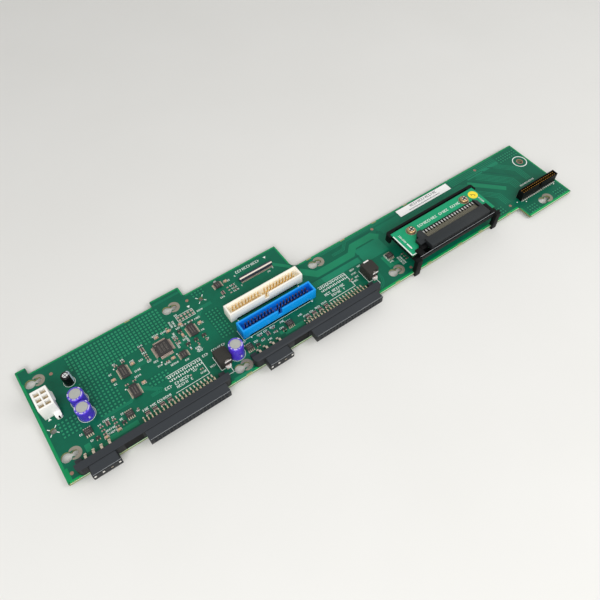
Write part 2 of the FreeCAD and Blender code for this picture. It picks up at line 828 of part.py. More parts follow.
def piggyback_bracket():
    """One moulding: open frame, grooved rear rail, front beam, screw bosses, hooked legs and clips."""
    low = piggy_lift - frame_thickness
    rail_low = piggy_lift - bracket_skirt
    rail_front = piggy_back - bracket_return
    beam_back = beam_front + beam_depth
    frame = block(piggy_x, beam_front, low, piggy_length, bracket_back - bracket_back_wall - beam_front,
                  frame_thickness)
    window = block(piggy_x + frame_end_rail, piggy_front + frame_front_rail, low,
                   piggy_length - 2 * frame_end_rail,
                   piggy_depth - frame_front_rail - frame_rear_rail, frame_thickness)
    rail = block(bracket_left, rail_front, rail_low, bracket_right - bracket_left,
                 bracket_back - rail_front, bracket_top - rail_low)
    rail = rail.makeFillet(bracket_corner, upright_edges(rail, lambda x, y: y > rail_front))
    nest = block(piggy_x - bracket_play, rail_front, rail_low, piggy_length + 2 * bracket_play,
                 bracket_return + bracket_play, bracket_top - rail_low)
    ledge = block(bracket_left, rail_front, low, bracket_right - bracket_left, bracket_return + bracket_play,
                  frame_thickness)
    groove = block(piggy_x + groove_end, piggy_back + bracket_play, bracket_top - groove_depth,
                   piggy_length - 2 * groove_end, groove_width, groove_depth)
    beam = block(piggy_x, beam_front, low, piggy_length, beam_depth, bracket_top - low)
    pieces = [rail.cut([nest, groove]), ledge, beam]
    right_clip_x = piggy_right - clip_offset - right_clip_width
    clips = ((piggy_x + clip_offset, left_clip_width, left_clip_overlap, left_clip_thickness),
             (right_clip_x, right_clip_width, right_clip_overlap, right_clip_thickness))
    for x, width, overlap, thickness in clips:
        pieces.append(block(x, beam_front, low, width, piggy_front - bracket_play - beam_front,
                            piggy_top + thickness - low))
        pieces.append(block(x, beam_front, piggy_top, width, piggy_front + overlap - beam_front, thickness))
    for x in (piggy_x - leg_shift, piggy_right - leg_shift - leg_width):
        pieces.append(block(x, -leg_depth, 0, leg_width, leg_depth + beam_back, bracket_top))
        pieces.append(block(x, -leg_depth, -rest_drop, leg_width, leg_depth, rest_drop))
        pieces.append(block(x, -leg_depth, -rest_drop, leg_width, leg_depth + hook_reach, solder_tail))
    pieces += [rod(x, y, 0, boss_radius, piggy_lift) for x, y in screw_spots]
    holes = [rod(x, y, piggy_lift - screw_depth, screw_radius, screw_depth) for x, y in screw_spots]
    return frame.cut(window).fuse(pieces).removeSplitter().cut(holes)


def piggyback_board():
    """The raised board with its two screw holes."""
    plate = block(piggy_x, piggy_front, piggy_lift, piggy_length, piggy_depth, piggy_thickness)
    hole_radius = screw_radius + screw_play
    return plate.cut([rod(x, y, piggy_lift, hole_radius, piggy_thickness) for x, y in screw_spots])


def piggyback_screws():
    """Two pan head screws with a cross recess."""
    screws = []
    for x, y in screw_spots:
        head = rod(x, y, piggy_top, screw_head_radius, screw_head_height)
        head = head.makeFillet(screw_head_round, top_rim(head))
        shank = rod(x, y, piggy_lift - screw_depth, screw_radius, screw_depth + piggy_thickness)
        floor = piggy_top + screw_head_height - screw_cross_depth
        cross = [block(x - length / 2, y - width / 2, floor, length, width, screw_cross_depth)
                 for length, width in ((screw_cross_length, screw_cross_width),
                                       (screw_cross_width, screw_cross_length))]
        screws.append(head.fuse(shank).removeSplitter().cut(cross))
    return screws


def optical_lead(back, height, run, knee, reach):
    """A lead that leaves the housing at a height, steps down behind it, runs level and ends in a foot."""
    half = contact_thickness / 2
    step = back + optical_lead_step
    tail = gull_profile(back + optical_lead_drop, back + knee, back + reach, optical_lead_foot, run,
                        contact_thickness)
    start = optical_front + contact_set_in
    entry = [(start, height - half), (start, height + half), (step, height + half)]
    return bent_strip(entry + tail + [(step - half, height - half)], optical_lead_width)


def optical_connector():
    """Housing with its rear tray, and two staggered rows of contacts of the optical drive's connector."""
    span = (signal_columns - 1) * signal_pitch
    length = optical_left_end + span + optical_right_end
    x = piggy_middle + optical_offset - length / 2
    first = x + optical_left_end
    back = optical_front + optical_depth
    tray = block(x - optical_tray_side, back, piggy_top, length + 2 * optical_tray_side,
                 optical_tray_depth, optical_cheek_height)
    tray = tray.makeChamfer(optical_tray_chamfer, upright_edges(tray, lambda cx, cy: cy > back))
    field = block(first - signal_pitch / 2, back, piggy_top + optical_tray_floor, span + signal_pitch,
                  optical_tray_depth, optical_cheek_height)
    ear = block(x - optical_ear_length, optical_front + optical_ear_start, piggy_top, optical_ear_length,
                optical_ear_depth, optical_cheek_height)
    housing = block(x, optical_front, piggy_top, length, optical_depth, optical_height)
    housing = housing.fuse([tray.cut(field), ear]).removeSplitter()
    wide = optical_lead_width + 2 * contact_play
    tall = contact_thickness + 2 * contact_play
    middle = optical_height / 2
    run = middle - optical_row_gap / 2
    rows = ((-0.5, optical_lower_knee, optical_lower_reach, optical_lower_reach + optical_slot_margin),
            (0.5, optical_upper_knee, optical_upper_reach, optical_tray_depth))
    cuts, contacts = [], []
    for row, (side, knee, reach, slot_end) in enumerate(rows):
        height = middle + side * optical_row_gap
        lead = optical_lead(back, height, run, knee, reach)
        slot = back + knee - optical_slot_margin
        for column in range(signal_columns - 1 + row):
            at = first + (column + (1 - row) / 2) * signal_pitch
            contacts.append(placed(lead, at, 0, piggy_top, 90))
            cuts.append(block(at - wide / 2, optical_front, piggy_top + height - tall / 2,
                              wide, optical_depth, tall))
            cuts.append(block(at - wide / 2, slot, piggy_top, wide, back + slot_end - slot,
                              optical_tray_floor))
    return housing.cut(Part.makeCompound(cuts)), contacts


def stacking_connectors():
    """Socket on the main board, plug under the piggyback board and the pins between them."""
    length = (stack_columns - 1) * stack_pitch + 2 * stack_end
    x = piggy_middle - length / 2
    middle = piggy_back - stack_from_rear
    y = middle - stack_depth / 2
    split = piggy_lift - stack_plug_height
    foot = split - stack_pin_depth
    half = stack_pin_size / 2
    wide = stack_pin_size + 2 * stack_slot_play
    slots, pins = [], []
    for side in (-0.5, 0.5):
        row_y = middle + side * stack_row_gap
        slots.append(block(x + stack_end - wide / 2, row_y - wide / 2, foot - stack_slot_play,
                           length - 2 * stack_end + wide, wide, stack_pin_depth + stack_slot_play))
        for column in range(stack_columns):
            at = x + stack_end + column * stack_pitch
            pins.append(block(at - half, row_y - half, foot, stack_pin_size, stack_pin_size,
                              piggy_lift - foot))
    socket = block(x, y, 0, length, stack_depth, split).cut(slots)
    plug = block(x, y, split, length, stack_depth, stack_plug_height).cut(Part.makeCompound(pins))
    return socket, plug, pins


def capacitor(spot, diameter, height, pitch):
    """Can, printed sleeve with its turned-in lip, and leads of an upright capacitor."""
    x, y = spot
    can = rod(x, y, 0, diameter / 2 - capacitor_sleeve, height - capacitor_sleeve)
    can = can.makeFillet(capacitor_round, top_rim(can))
    sleeve = rod(x, y, 0, diameter / 2, height)
    sleeve = sleeve.makeFillet(capacitor_round + capacitor_sleeve, top_rim(sleeve))
    sleeve = sleeve.cut([can, rod(x, y, 0, diameter / 2 - capacitor_sleeve - capacitor_lip, height)])
    leads = [rod(lead_x, lead_y, -rest_drop, capacitor_lead_radius, rest_drop)
             for lead_x, lead_y in capacitor_lead_spots(spot, pitch)]
    return can, sleeve, leads


def filter_choke(x, y):
    """Core of a choke with a recess in its front, and the flat terminal that leaves it there."""
    core = block(x, y, 0, choke_width, choke_depth, choke_height)
    core = core.makeFillet(choke_radius, upright_edges(core, lambda cx, cy: cx > x))
    recess_x = x + choke_width - choke_recess_inset - choke_recess_width
    recess = block(recess_x, y, 0, choke_recess_width, choke_recess_depth, choke_height)
    thick = choke_terminal_thickness
    top = choke_terminal_top
    foot = choke_terminal_foot
    outline = [(-choke_recess_depth, top), (-choke_recess_depth, top - thick), (-thick, top - thick),
               (-thick, 0), (foot, 0), (foot, thick), (0, thick), (0, top)]
    terminal = bent_strip(outline, choke_recess_width)
    return core.cut(recess), placed(terminal, recess_x + choke_recess_width / 2, y, 0, -90)


def lead_row(x, y, side, count, pitch, turn, height, reach=chip_lead_reach, foot=chip_lead_foot):
    """One row of leads along a side of a chip."""
    lead = bent_strip(gull_profile(0, chip_lead_knee, reach, foot, height / 2, chip_lead_thickness),
                      pitch * chip_lead_share)
    row = [placed(lead, side, (number - (count - 1) / 2) * pitch) for number in range(count)]
    return [placed(shape, x, y, 0, turn) for shape in row]


def chip_body(x, y, width, length, height, turn):
    """A chip's body, held just off the board by its leads."""
    body = block(-width / 2, -length / 2, chip_lead_thickness, width, length, height - chip_lead_thickness)
    return placed(body, x, y, 0, turn)


def controller_chip():
    """Body of the square controller chip and its leads on four sides."""
    body = chip_body(controller_x, controller_y, controller_size, controller_size, controller_height, 0)
    leads = []
    for turn in (0, 90, 180, 270):
        leads += lead_row(controller_x, controller_y, controller_size / 2, controller_leads,
                          controller_pitch, turn, controller_height, controller_lead_reach,
                          controller_lead_foot)
    return body, leads


def two_row_chip(x, y, width, length, count, pitch, turn):
    """Body of a chip and its leads on two sides, left and right until it is turned."""
    leads = []
    for face in (0, 180):
        leads += lead_row(x, y, width / 2, count, pitch, turn + face, chip_height)
    return chip_body(x, y, width, length, chip_height, turn), leads


def transistor(x, y):
    """Body of a small transistor with one lead at the rear and two in front."""
    lead = bent_strip(gull_profile(0, transistor_lead_knee, transistor_lead_reach, transistor_lead_foot,
                                   transistor_height / 2, chip_lead_thickness), transistor_lead_width)
    leads = [placed(lead, x, y + transistor_width / 2, 0, 90)]
    for side in (-0.5, 0.5):
        leads.append(placed(lead, x + side * transistor_pitch, y - transistor_width / 2, 0, -90))
    return chip_body(x, y, transistor_length, transistor_width, transistor_height, 0), leads


def small_parts(spots, length, width, height):
    """Plain small parts that lie on the board."""
    part = block(-length / 2, -width / 2, 0, length, width, height)
    return [placed(part, x, y, 0, turn) for x, y, turn in spots]


def save_pairs(body_node, lead_node, made):
    """Writes the bodies of some parts as one node and all their leads as another."""
    save(body_node, [body for body, leads in made])
    save(lead_node, [lead for body, leads in made for lead in leads])


def save_connectors():
    """Writes the connectors of the main board."""
    for bay in range(len(drive_x)):
        housing, signals, powers = drive_connector(bay)
        save("drive_%d_connector_housing" % bay, [housing])
        save("drive_%d_signal_contacts" % bay, signals)
        save("drive_%d_power_contacts" % bay, powers)
    for colour, front in zip(("blue", "cream"), header_y):
        shroud, pins = ribbon_header(front)
        save(colour + "_header_shroud", [shroud])
        save(colour + "_header_pins", pins)
    housing, pins = power_inlet()
    save("power_inlet_housing", [housing])
    save("power_inlet_pins", pins)
    housing, bar, leads = floppy_connector()
    save("floppy_connector_housing", [housing])
    save("floppy_connector_bar", [bar])
    save("floppy_connector_leads", leads)
    shroud, pins = panel_header()
    save("panel_header_shroud", [shroud])
    save("panel_header_pins", pins)


def save_piggyback():
    """Writes the piggyback board, its bracket and everything on and under it."""
    save("piggyback_bracket", [piggyback_bracket()])
    save("piggyback_board", [piggyback_board()])
    save("piggyback_screws", piggyback_screws())
    housing, contacts = optical_connector()
    save("optical_connector_housing", [housing])
    save("optical_connector_contacts", contacts)
    socket, plug, pins = stacking_connectors()
    save("stacking_socket", [socket])
    save("stacking_plug", [plug])
    save("stacking_pins", pins)
    sticker_x = screw_spots[1][0] + sticker_from_screw
    save("round_sticker", [rod(sticker_x, screw_y, piggy_top, sticker_radius, label_thickness)])


def save_capacitors(name, spots, diameter, height, pitch):
    """Writes the cans, sleeves and leads of one kind of capacitor."""
    made = [capacitor(spot, diameter, height, pitch) for spot in spots]
    save(name + "_capacitor_cans", [can for can, sleeve, leads in made])
    save(name + "_capacitor_sleeves", [sleeve for can, sleeve, leads in made])
    save(name + "_capacitor_leads", [lead for can, sleeve, leads in made for lead in leads])


def save_circuits():
    """Writes the parts soldered on the main board, and its label."""
    save_capacitors("inlet", inlet_capacitors, inlet_capacitor_diameter, inlet_capacitor_height,
                    inlet_capacitor_lead_pitch)
    save_capacitors("bay", [bay_capacitor], bay_capacitor_diameter, bay_capacitor_height,
                    bay_capacitor_lead_pitch)
    save_capacitors("small", [small_capacitor], small_capacitor_diameter, small_capacitor_height,
                    small_capacitor_lead_pitch)
    made = [filter_choke(x, y) for x, y in chokes]
    save("filter_choke_cores", [core for core, terminal in made])
    save("filter_choke_terminals", [terminal for core, terminal in made])
    save_pairs("controller_chip", "controller_chip_leads", [controller_chip()])
    save_pairs("buffer_chips", "buffer_chip_leads",
               [two_row_chip(x, y, buffer_width, buffer_length, buffer_leads, buffer_pitch, 0)
                for x, y in buffers])
    save_pairs("switch_chips", "switch_chip_leads",
               [two_row_chip(x, y, switch_width, switch_length, switch_leads, switch_pitch, 90)
                for x, y in switches])
    save_pairs("logic_chips", "logic_chip_leads",
               [two_row_chip(x, y, logic_width, logic_length, logic_leads, logic_pitch, 0)
                for x, y in logic_chips])
    save_pairs("transistors", "transistor_leads", [transistor(x, y) for x, y in transistors])
    save("resistor_packs", small_parts(packs, pack_length, pack_width, pack_height))
    save("chip_resistors", small_parts(resistors, resistor_length, resistor_width, resistor_height))
    save("ceramic_capacitors", small_parts(ceramics, ceramic_length, ceramic_width, ceramic_height))
    save("asset_label", [block(piggy_x + label_offset, right_depth - label_from_rear - label_width, 0,
                               label_length, label_width, label_thickness)])


os.makedirs("parts", exist_ok=True)
save("circuit_board", [circuit_board()])
save_connectors()
save_piggyback()
save_circuits()
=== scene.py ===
from math import atan2, cos, degrees, radians, sin

import bmesh
import bpy
from mathutils import Matrix, Vector


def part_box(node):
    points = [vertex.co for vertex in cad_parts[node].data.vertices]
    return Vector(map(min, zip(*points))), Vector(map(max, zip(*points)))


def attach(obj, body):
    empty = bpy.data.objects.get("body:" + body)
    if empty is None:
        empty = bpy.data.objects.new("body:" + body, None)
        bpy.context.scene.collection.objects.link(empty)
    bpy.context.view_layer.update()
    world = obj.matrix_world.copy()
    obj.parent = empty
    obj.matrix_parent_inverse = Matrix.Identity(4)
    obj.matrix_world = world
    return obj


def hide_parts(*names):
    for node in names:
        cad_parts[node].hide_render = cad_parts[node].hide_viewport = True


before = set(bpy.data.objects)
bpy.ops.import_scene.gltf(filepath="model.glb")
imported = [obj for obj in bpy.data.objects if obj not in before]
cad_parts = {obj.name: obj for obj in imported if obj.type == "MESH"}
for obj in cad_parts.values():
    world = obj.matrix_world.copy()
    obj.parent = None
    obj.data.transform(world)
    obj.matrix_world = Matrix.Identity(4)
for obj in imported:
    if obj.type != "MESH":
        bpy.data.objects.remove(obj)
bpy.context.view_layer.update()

# The board's own measures: millimetres from its left edge, from its drive edge and above its face
MM = 0.001
board_low, board_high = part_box("circuit_board")
foot_tab_depth = 11.07
board_thickness = 1.6
screw_hole = (405.5, 35.6)
face_corner = Vector((board_low.x, board_low.y + foot_tab_depth * MM, board_high.z))
raised_face = (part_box("piggyback_board")[1].z - board_high.z) / MM

# Thicknesses of print and lands, and of the layers under the mask
film = 0.03
soft_film = 0.004
field_film = 0.006
band_film = 0.008
shadow_film = 0.009
copper_film = 0.012
stub_film = 0.014
shade_film = 0.02
under_face = -board_thickness - film

# Vertices closer than this are one, and edges that bend less than this stay smooth
close_by = 0.002
smooth_angle = 40.0


def spot(x, y, z=0.0):
    """A place on the board, in metres."""
    return face_corner + Vector((x, y, z)) * MM


def on_board(place):
    """The board's own millimetres of a place in metres."""
    return (place - face_corner) / MM


def towards(angle):
    """The level direction at an angle from the board's length."""
    return Vector((cos(radians(angle)), sin(radians(angle))))


def linear(red, green, blue):
    """A colour as it looks on a screen, from 0 to 255, made ready for a shader."""
    parts = [value / 255 for value in (red, green, blue)]
    return [part / 12.92 if part <= 0.04045 else ((part + 0.055) / 1.055) ** 2.4 for part in parts] + [1.0]


# Shaders
bump_depth = 0.1 * MM
fine_grain = 2600.0


class Tap:
    """A value in a shader. Sums on it add Math nodes."""

    def __init__(self, paint, socket):
        self.paint = paint
        self.socket = socket

    def sum(self, operation, first, second):
        return self.paint.node("ShaderNodeMath", {"operation": operation}, {0: first, 1: second})

    def __add__(self, other):
        return self.sum("ADD", self, other)

    def __radd__(self, other):
        return self.sum("ADD", other, self)

    def __sub__(self, other):
        return self.sum("SUBTRACT", self, other)

    def __rsub__(self, other):
        return self.sum("SUBTRACT", other, self)

    def __mul__(self, other):
        return self.sum("MULTIPLY", self, other)

    def __rmul__(self, other):
        return self.sum("MULTIPLY", other, self)

    def __lt__(self, other):
        return self.sum("LESS_THAN", self, other)


class Paint:
    """The nodes of one material or of the world."""

    def __init__(self, owner):
        owner.use_nodes = True
        self.owner = owner
        self.tree = owner.node_tree

    def node(self, kind, settings, sockets, output=0):
        """Adds a node: its settings come first, then the values and links of its sockets."""
        made = self.tree.nodes.new(kind)
        for name, value in settings.items():
            setattr(made, name, value)
        self.fill(made, sockets)
        return Tap(self, made.outputs[output])

    def fill(self, made, sockets):
        """Sets or links a node's sockets."""
        for key, value in sockets.items():
            if isinstance(value, Tap):
                self.tree.links.new(value.socket, made.inputs[key])
            else:
                made.inputs[key].default_value = value

    def place(self):
        return self.node("ShaderNodeTexCoord", {}, {}, "Object")

    def noise(self, scale, detail=2.0):
        """Cloudy values from 0 to 1, with so many clouds to the metre."""
        return self.node("ShaderNodeTexNoise", {},
                         {"Vector": self.place(), "Scale": scale, "Detail": detail})

    def bands(self, scale, direction):
        """Soft stripes across one direction."""
        return self.node("ShaderNodeTexWave", {"bands_direction": direction},
                         {"Vector": self.place(), "Scale": scale, "Distortion": 0.4, "Detail": 0.0})

    def steep(self):
        """One on upright walls and zero on level faces."""
        normal = self.node("ShaderNodeTexCoord", {}, {}, "Normal")
        height = self.node("ShaderNodeSeparateXYZ", {}, {0: normal}, "Z")
        return height * height < 0.5

    def inside(self, low, high):
        """One in the box between two corners and zero outside it."""
        share = 1.0
        for axis, first, last in zip("XYZ", low, high):
            along = self.node("ShaderNodeSeparateXYZ", {}, {0: self.place()}, axis)
            share = share * self.node("ShaderNodeMath", {"operation": "COMPARE"},
                                      {0: along, 1: (first + last) / 2, 2: (last - first) / 2})
        return share

    def mix(self, share, first, second):
        """A colour between two colours."""
        return self.node("ShaderNodeMix", {"data_type": "RGBA"}, {0: share, 6: first, 7: second}, 2)

    def clouded(self, share, colour, dark, light):
        """A colour that goes from a darker to a lighter form of itself."""
        return self.mix(share, shade(colour, dark), shade(colour, light))

    def bump(self, height, strength):
        return self.node("ShaderNodeBump", {},
                         {"Height": height, "Strength": strength, "Distance": bump_depth})

    def surface(self, sockets):
        """Fills the shader's sockets and gives the finished material."""
        self.fill(self.tree.nodes["Principled BSDF"], sockets)
        return self.owner


def new_paint(name):
    return Paint(bpy.data.materials.new(name))


def shade(colour, factor):
    """A darker or lighter form of a screen colour, made ready for a shader."""
    return [min(1.0, part * factor) for part in linear(*colour)[:3]] + [1.0]


def solder_mask(name, colour, edge):
    """Glossy mask over glass weave, with the bare laminate on its cut edges."""
    paint = new_paint(name)
    clouds = paint.noise(26.0, 5.0)
    patches = paint.noise(170.0, 4.0)
    specks = paint.noise(1500.0)
    weave = paint.bands(340.0, "X") * 0.5 + paint.bands(340.0, "Y") * 0.5
    share = clouds * 0.55 + patches * 0.3 + specks * 0.1 + weave * 0.05
    face = paint.clouded(share, colour, 0.45, 1.55)
    wall = paint.clouded(paint.noise(700.0, 3.0), edge, 0.6, 1.25)
    cut = paint.steep()
    return paint.surface({
        "Base Color": paint.mix(cut, face, wall),
        "Roughness": 0.34 + clouds * 0.14 + cut * 0.35,
        "Normal": paint.bump(weave + specks * 0.6, 0.12),
        "Specular IOR Level": 0.16,
        "Coat Weight": 0.06 - cut * 0.06,
        "Coat Roughness": 0.22,
    })


def covered_copper(name, colour):
    """Copper that shows through the mask as a lighter green."""
    paint = new_paint(name)
    clouds = paint.noise(90.0, 4.0)
    specks = paint.noise(1800.0)
    return paint.surface({
        "Base Color": paint.clouded(clouds * 0.7 + specks * 0.3, colour, 0.75, 1.22),
        "Roughness": 0.32 + clouds * 0.16,
        "Normal": paint.bump(specks, 0.1),
        "Specular IOR Level": 0.16,
        "Coat Weight": 0.06,
        "Coat Roughness": 0.2,
    })


def moulding(name, colour, rough=0.42, grain=1600.0, spread=0.16, hollow=None, gloss=0.4, walls=1.0):
    """Moulded plastic: clouded colour, fine grain, uneven gloss and upright walls darker than level faces,
    the last as painted shade.

    A hollow is a box with another colour; where that colour is darker than the rest, it is painted shade."""
    paint = new_paint(name)
    clouds = paint.noise(75.0, 3.0)
    pits = paint.noise(grain, 3.0)
    share = clouds * 0.6 + pits * 0.4
    tint = paint.clouded(share, colour, 1 - spread, 1 + spread)
    # Painted shade: upright walls take a darker form of the colour than level faces
    if walls < 1.0:
        upright = paint.clouded(share, colour, walls * (1 - spread), walls * (1 + spread))
        tint = paint.mix(paint.steep(), tint, upright)
    if hollow:
        low, high, inner = hollow
        inner_tint = paint.clouded(pits, inner, 1 - spread, 1 + spread)
        tint = paint.mix(paint.inside(low, high), tint, inner_tint)
    return paint.surface({
        "Base Color": tint,
        "Roughness": rough - 0.1 + pits * 0.16 + clouds * 0.1,
        "Specular IOR Level": gloss,
        "Normal": paint.bump(pits, 0.22),
    })


def plated(name, colour, rough, dull=0.3, ends=()):
    """Plated metal with dull stains and fine scratches. Each end is a box with another colour."""
    paint = new_paint(name)
    stains = paint.noise(420.0, 4.0)
    scratches = paint.bands(900.0, "Z") * paint.noise(2200.0)
    bright = 1.08
    tint = paint.clouded(stains, colour, 1 - dull, bright)
    for low, high, other in ends:
        other_tint = paint.clouded(stains, other, 1 - dull, bright)
        tint = paint.mix(paint.inside(low, high), tint, other_tint)
    return paint.surface({
        "Base Color": tint,
        "Metallic": 0.95 - stains * 0.2,
        "Roughness": rough + stains * 0.2,
        "Normal": paint.bump(stains + scratches, 0.1),
    })


def ink(name, colour, rough=0.6, spread=0.1):
    """Screen print and label ink, with slight wear."""
    paint = new_paint(name)
    wear = paint.noise(900.0, 4.0)
    return paint.surface({
        "Base Color": paint.clouded(wear, colour, 1 - 2 * spread, 1 + spread),
        "Roughness": rough + wear * 0.2,
        "Normal": paint.bump(wear, 0.08),
    })


def sleeve_film(name, colour, gloss=0.5):
    """Shrunk film: deep colour, soft clouds, fine grain and a clear gloss."""
    paint = new_paint(name)
    clouds = paint.noise(160.0, 3.0)
    fine = paint.noise(2400.0)
    return paint.surface({
        "Base Color": paint.clouded(clouds * 0.8 + fine * 0.2, colour, 0.72, 1.2),
        "Roughness": 0.22 + clouds * 0.16,
        "Normal": paint.bump(fine, 0.06),
        "Specular IOR Level": gloss,
        "Coat Weight": gloss * 0.5 + clouds * gloss * 0.4,
        "Coat Roughness": 0.12,
    })


def hollow_of(node, wall, colour, below=0.2):
    """The box inside a moulding's walls, under its rim, and the colour there."""
    low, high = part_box(node)
    inset = Vector((wall, wall, 0.0)) * MM
    return low + inset, high - inset - Vector((0.0, 0.0, below * MM)), colour


def between(front, back, bottom, top, colour):
    """A box past both ends of the board, between two depths and two heights, and the colour there."""
    past_left = -10.0
    past_right = 500.0
    return spot(past_left, front, bottom), spot(past_right, back, top), colour


laminate_edge = (132, 138, 96)
board_mask = solder_mask("board_mask", (4, 96, 72), laminate_edge)
raised_mask = solder_mask("raised_board_mask", (24, 150, 106), (50, 104, 66))
edge_mask = covered_copper("edge_band_under_mask", (12, 138, 84))
front_mask = covered_copper("front_band_under_mask", (18, 160, 86))
copper_pour = covered_copper("copper_pour_under_mask", (24, 128, 92))
copper_square = covered_copper("copper_square_under_mask", (40, 138, 99))
soft_pour = covered_copper("soft_pour_under_mask", (22, 124, 94))
copper_track = covered_copper("copper_track_under_mask", (26, 128, 96))
deep_mask = covered_copper("deep_mask", (2, 87, 68))
# The walls factor paints shade: upright walls of the black, optical and white mouldings are darker than
# their tops
black_moulding = moulding("black_moulding", (46, 50, 55), 0.46, gloss=0.25, walls=0.34)
# The bracket's near black, which also paints the sheets of painted shade
bracket_black_and_shade = moulding("bracket_black_and_shade", (8, 9, 10), 0.5, gloss=0.12)
optical_moulding = moulding("optical_moulding", (42, 46, 49), 0.46, gloss=0.22, walls=0.4)
edge_highlight_grey = moulding("edge_highlight_grey", (172, 176, 180), 0.5)
floppy_moulding = moulding("floppy_moulding", (50, 58, 78), 0.5, gloss=0.25)
# Painted shade: the blue header's hollow is a darker blue and the inlet's cavities a warm beige, as shade
# inside them, warmed by the gold pins in the inlet
blue_moulding = moulding("blue_moulding", (2, 152, 238), 0.4, spread=0.08,
                         hollow=hollow_of("blue_header_shroud", 1.1, (4, 116, 224)))
cream_moulding = moulding("cream_moulding", (248, 244, 234), 0.45, spread=0.04,
                          hollow=hollow_of("cream_header_shroud", 1.1, (255, 250, 238)))
white_moulding = moulding("white_moulding", (248, 247, 244), 0.45, spread=0.04, walls=0.86,
                          hollow=(spot(4.9, 47.0, 0.5), spot(12.9, 60.3, 10.2), (252, 240, 214)))
bar_moulding = moulding("cover_bar_moulding", (244, 230, 216), 0.45, spread=0.06)
chip_moulding = moulding("chip_moulding", (52, 50, 50), 0.55, fine_grain, 0.25, gloss=0.3)
ferrite = moulding("choke_ferrite", (50, 49, 46), 0.6, 2200.0, 0.3, gloss=0.2)
glazed_black = moulding("resistor_glaze", (52, 44, 46), 0.35, fine_grain, 0.25)
tan_ceramic = moulding("tan_ceramic", (198, 164, 128), 0.5, fine_grain, 0.15)
pale_blue_body = moulding("pale_blue_body", (176, 232, 246), 0.4, fine_grain, 0.08)
pale_laminate = moulding("pale_laminate", (196, 222, 190), 0.7, fine_grain, 0.12)
break_out_tan = moulding("break_out_tan", (152, 150, 104), 0.7, fine_grain, 0.2)
gold_plate = plated("gold_plate", (236, 200, 122), 0.38, 0.15)
# Painted shade: the panel header's pins are near black below their gold tips, as shade inside the shroud;
# the leads in front of it are tin
panel_gold_and_shade = plated("panel_header_gold_and_shade", (26, 20, 14), 0.4, 0.3,
                    [between(-20.0, 4.05, -3.0, 20.0, (236, 232, 226)),
                     between(4.05, 20.0, 7.0, 20.0, (214, 160, 74))])
# Painted shade: the blue header's pins are dark navy below their dull gold tips, as shade inside the shroud
blue_header_gold_and_shade = plated("blue_header_gold_and_shade", (30, 34, 58), 0.4, 0.4,
                          [between(-20.0, 90.0, 6.6, 20.0, (120, 92, 76))])
tin_leads = plated("tin_leads", (208, 196, 180), 0.4, 0.25)
signal_tin = plated("signal_tin", (204, 186, 158), 0.34, 0.3,
                    [between(8.0, 20.0, -3.0, 1.6, (228, 220, 204))])
power_tin = plated("power_tin", (206, 192, 174), 0.45, 0.2)
# Painted shadow: the optical contacts are a dull khaki where the housing's shadow falls on them, and bright
# tin at their lit tips past 16.2 mm
optical_tin_and_shadow = plated("optical_tin_and_shadow", (118, 115, 102), 0.45, 0.25,
                     [between(16.2, 30.0, 0.0, 20.0, (200, 200, 198))])
floppy_tin = plated("floppy_tin", (190, 166, 160), 0.4, 0.2,
                    [between(60.0, 90.0, 0.45, 20.0, (82, 84, 98))])
# Painted shade: the choke terminals are dark from 1.5 to 5 mm up, where shade falls between the clip and
# the lug
clip_tin_and_shade = plated("clip_tin_and_shade", (236, 226, 222), 0.3, 0.15,
                  [between(-20.0, 90.0, 1.5, 5.0, (64, 58, 56))])
# Painted highlight: a bright matte white for the choke clips and lugs, partly the tin's own colour and
# partly a painted highlight
tin_white_and_highlight = moulding("tin_white_and_highlight", (240, 236, 234), 0.35, fine_grain, 0.06)
highlight_tin = plated("highlight_tin", (240, 238, 234), 0.2, 0.1)
rosy_tin = plated("rosy_tin", (190, 166, 160), 0.4, 0.2)
dull_tin = plated("dull_tin_rings", (156, 150, 138), 0.55, 0.2)
bare_copper = plated("bare_copper", (164, 128, 114), 0.55, 0.2)
yellow_zinc = plated("yellow_zinc", (186, 156, 116), 0.26, 0.35)
screw_shadow = moulding("screw_recess_shadow", (30, 24, 15), 0.6)
can_metal = plated("capacitor_can_metal", (182, 184, 180), 0.5, 0.12)
bright_can = plated("bright_can_metal", (228, 229, 230), 0.45, 0.1)
vent_score_shade = plated("vent_score_shade_metal", (84, 85, 88), 0.5)
solder = plated("solder", (196, 196, 196), 0.3, 0.2)
purple_film = sleeve_film("purple_sleeve_film", (78, 48, 206))
black_film = sleeve_film("black_sleeve_film", (9, 10, 12), 0.12)
pale_film = sleeve_film("pale_sleeve_print_and_highlights", (214, 206, 248))
silver_film = sleeve_film("silver_sleeve_print_and_highlight", (196, 212, 228))
white_print = ink("white_print", (240, 246, 242))
grey_print = ink("grey_chip_print", (118, 112, 106))
label_paper = ink("label_paper", (250, 250, 250), 0.55, 0.02)
label_print = ink("label_print", (96, 98, 108))
sticker_paper = ink("sticker_paper", (255, 228, 56), 0.5, 0.04)
sticker_print = ink("sticker_print", (134, 112, 40))


# Making pieces

def finished(name, bm, finish, smooth=0.0, stands_for=(), outward=True):
    """Turns a bmesh into a piece that rides with the board."""
    if outward:
        bmesh.ops.recalc_face_normals(bm, faces=bm.faces)
    mesh = bpy.data.meshes.new(name)
    bm.to_mesh(mesh)
    bm.free()
    mesh.materials.append(finish)
    if smooth:
        mesh.shade_smooth()
        mesh.set_sharp_from_angle(angle=radians(smooth))
    made = bpy.data.objects.new(name, mesh)
    bpy.context.scene.collection.objects.link(made)
    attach(made, "root")
    if stands_for:
        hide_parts(*stands_for)


def block(bm, low, high):
    """A block between two corners in metres."""
    place = Matrix.Translation((low + high) / 2) @ Matrix.Diagonal((*(high - low), 1.0))
    bmesh.ops.create_cube(bm, size=1.0, matrix=place)


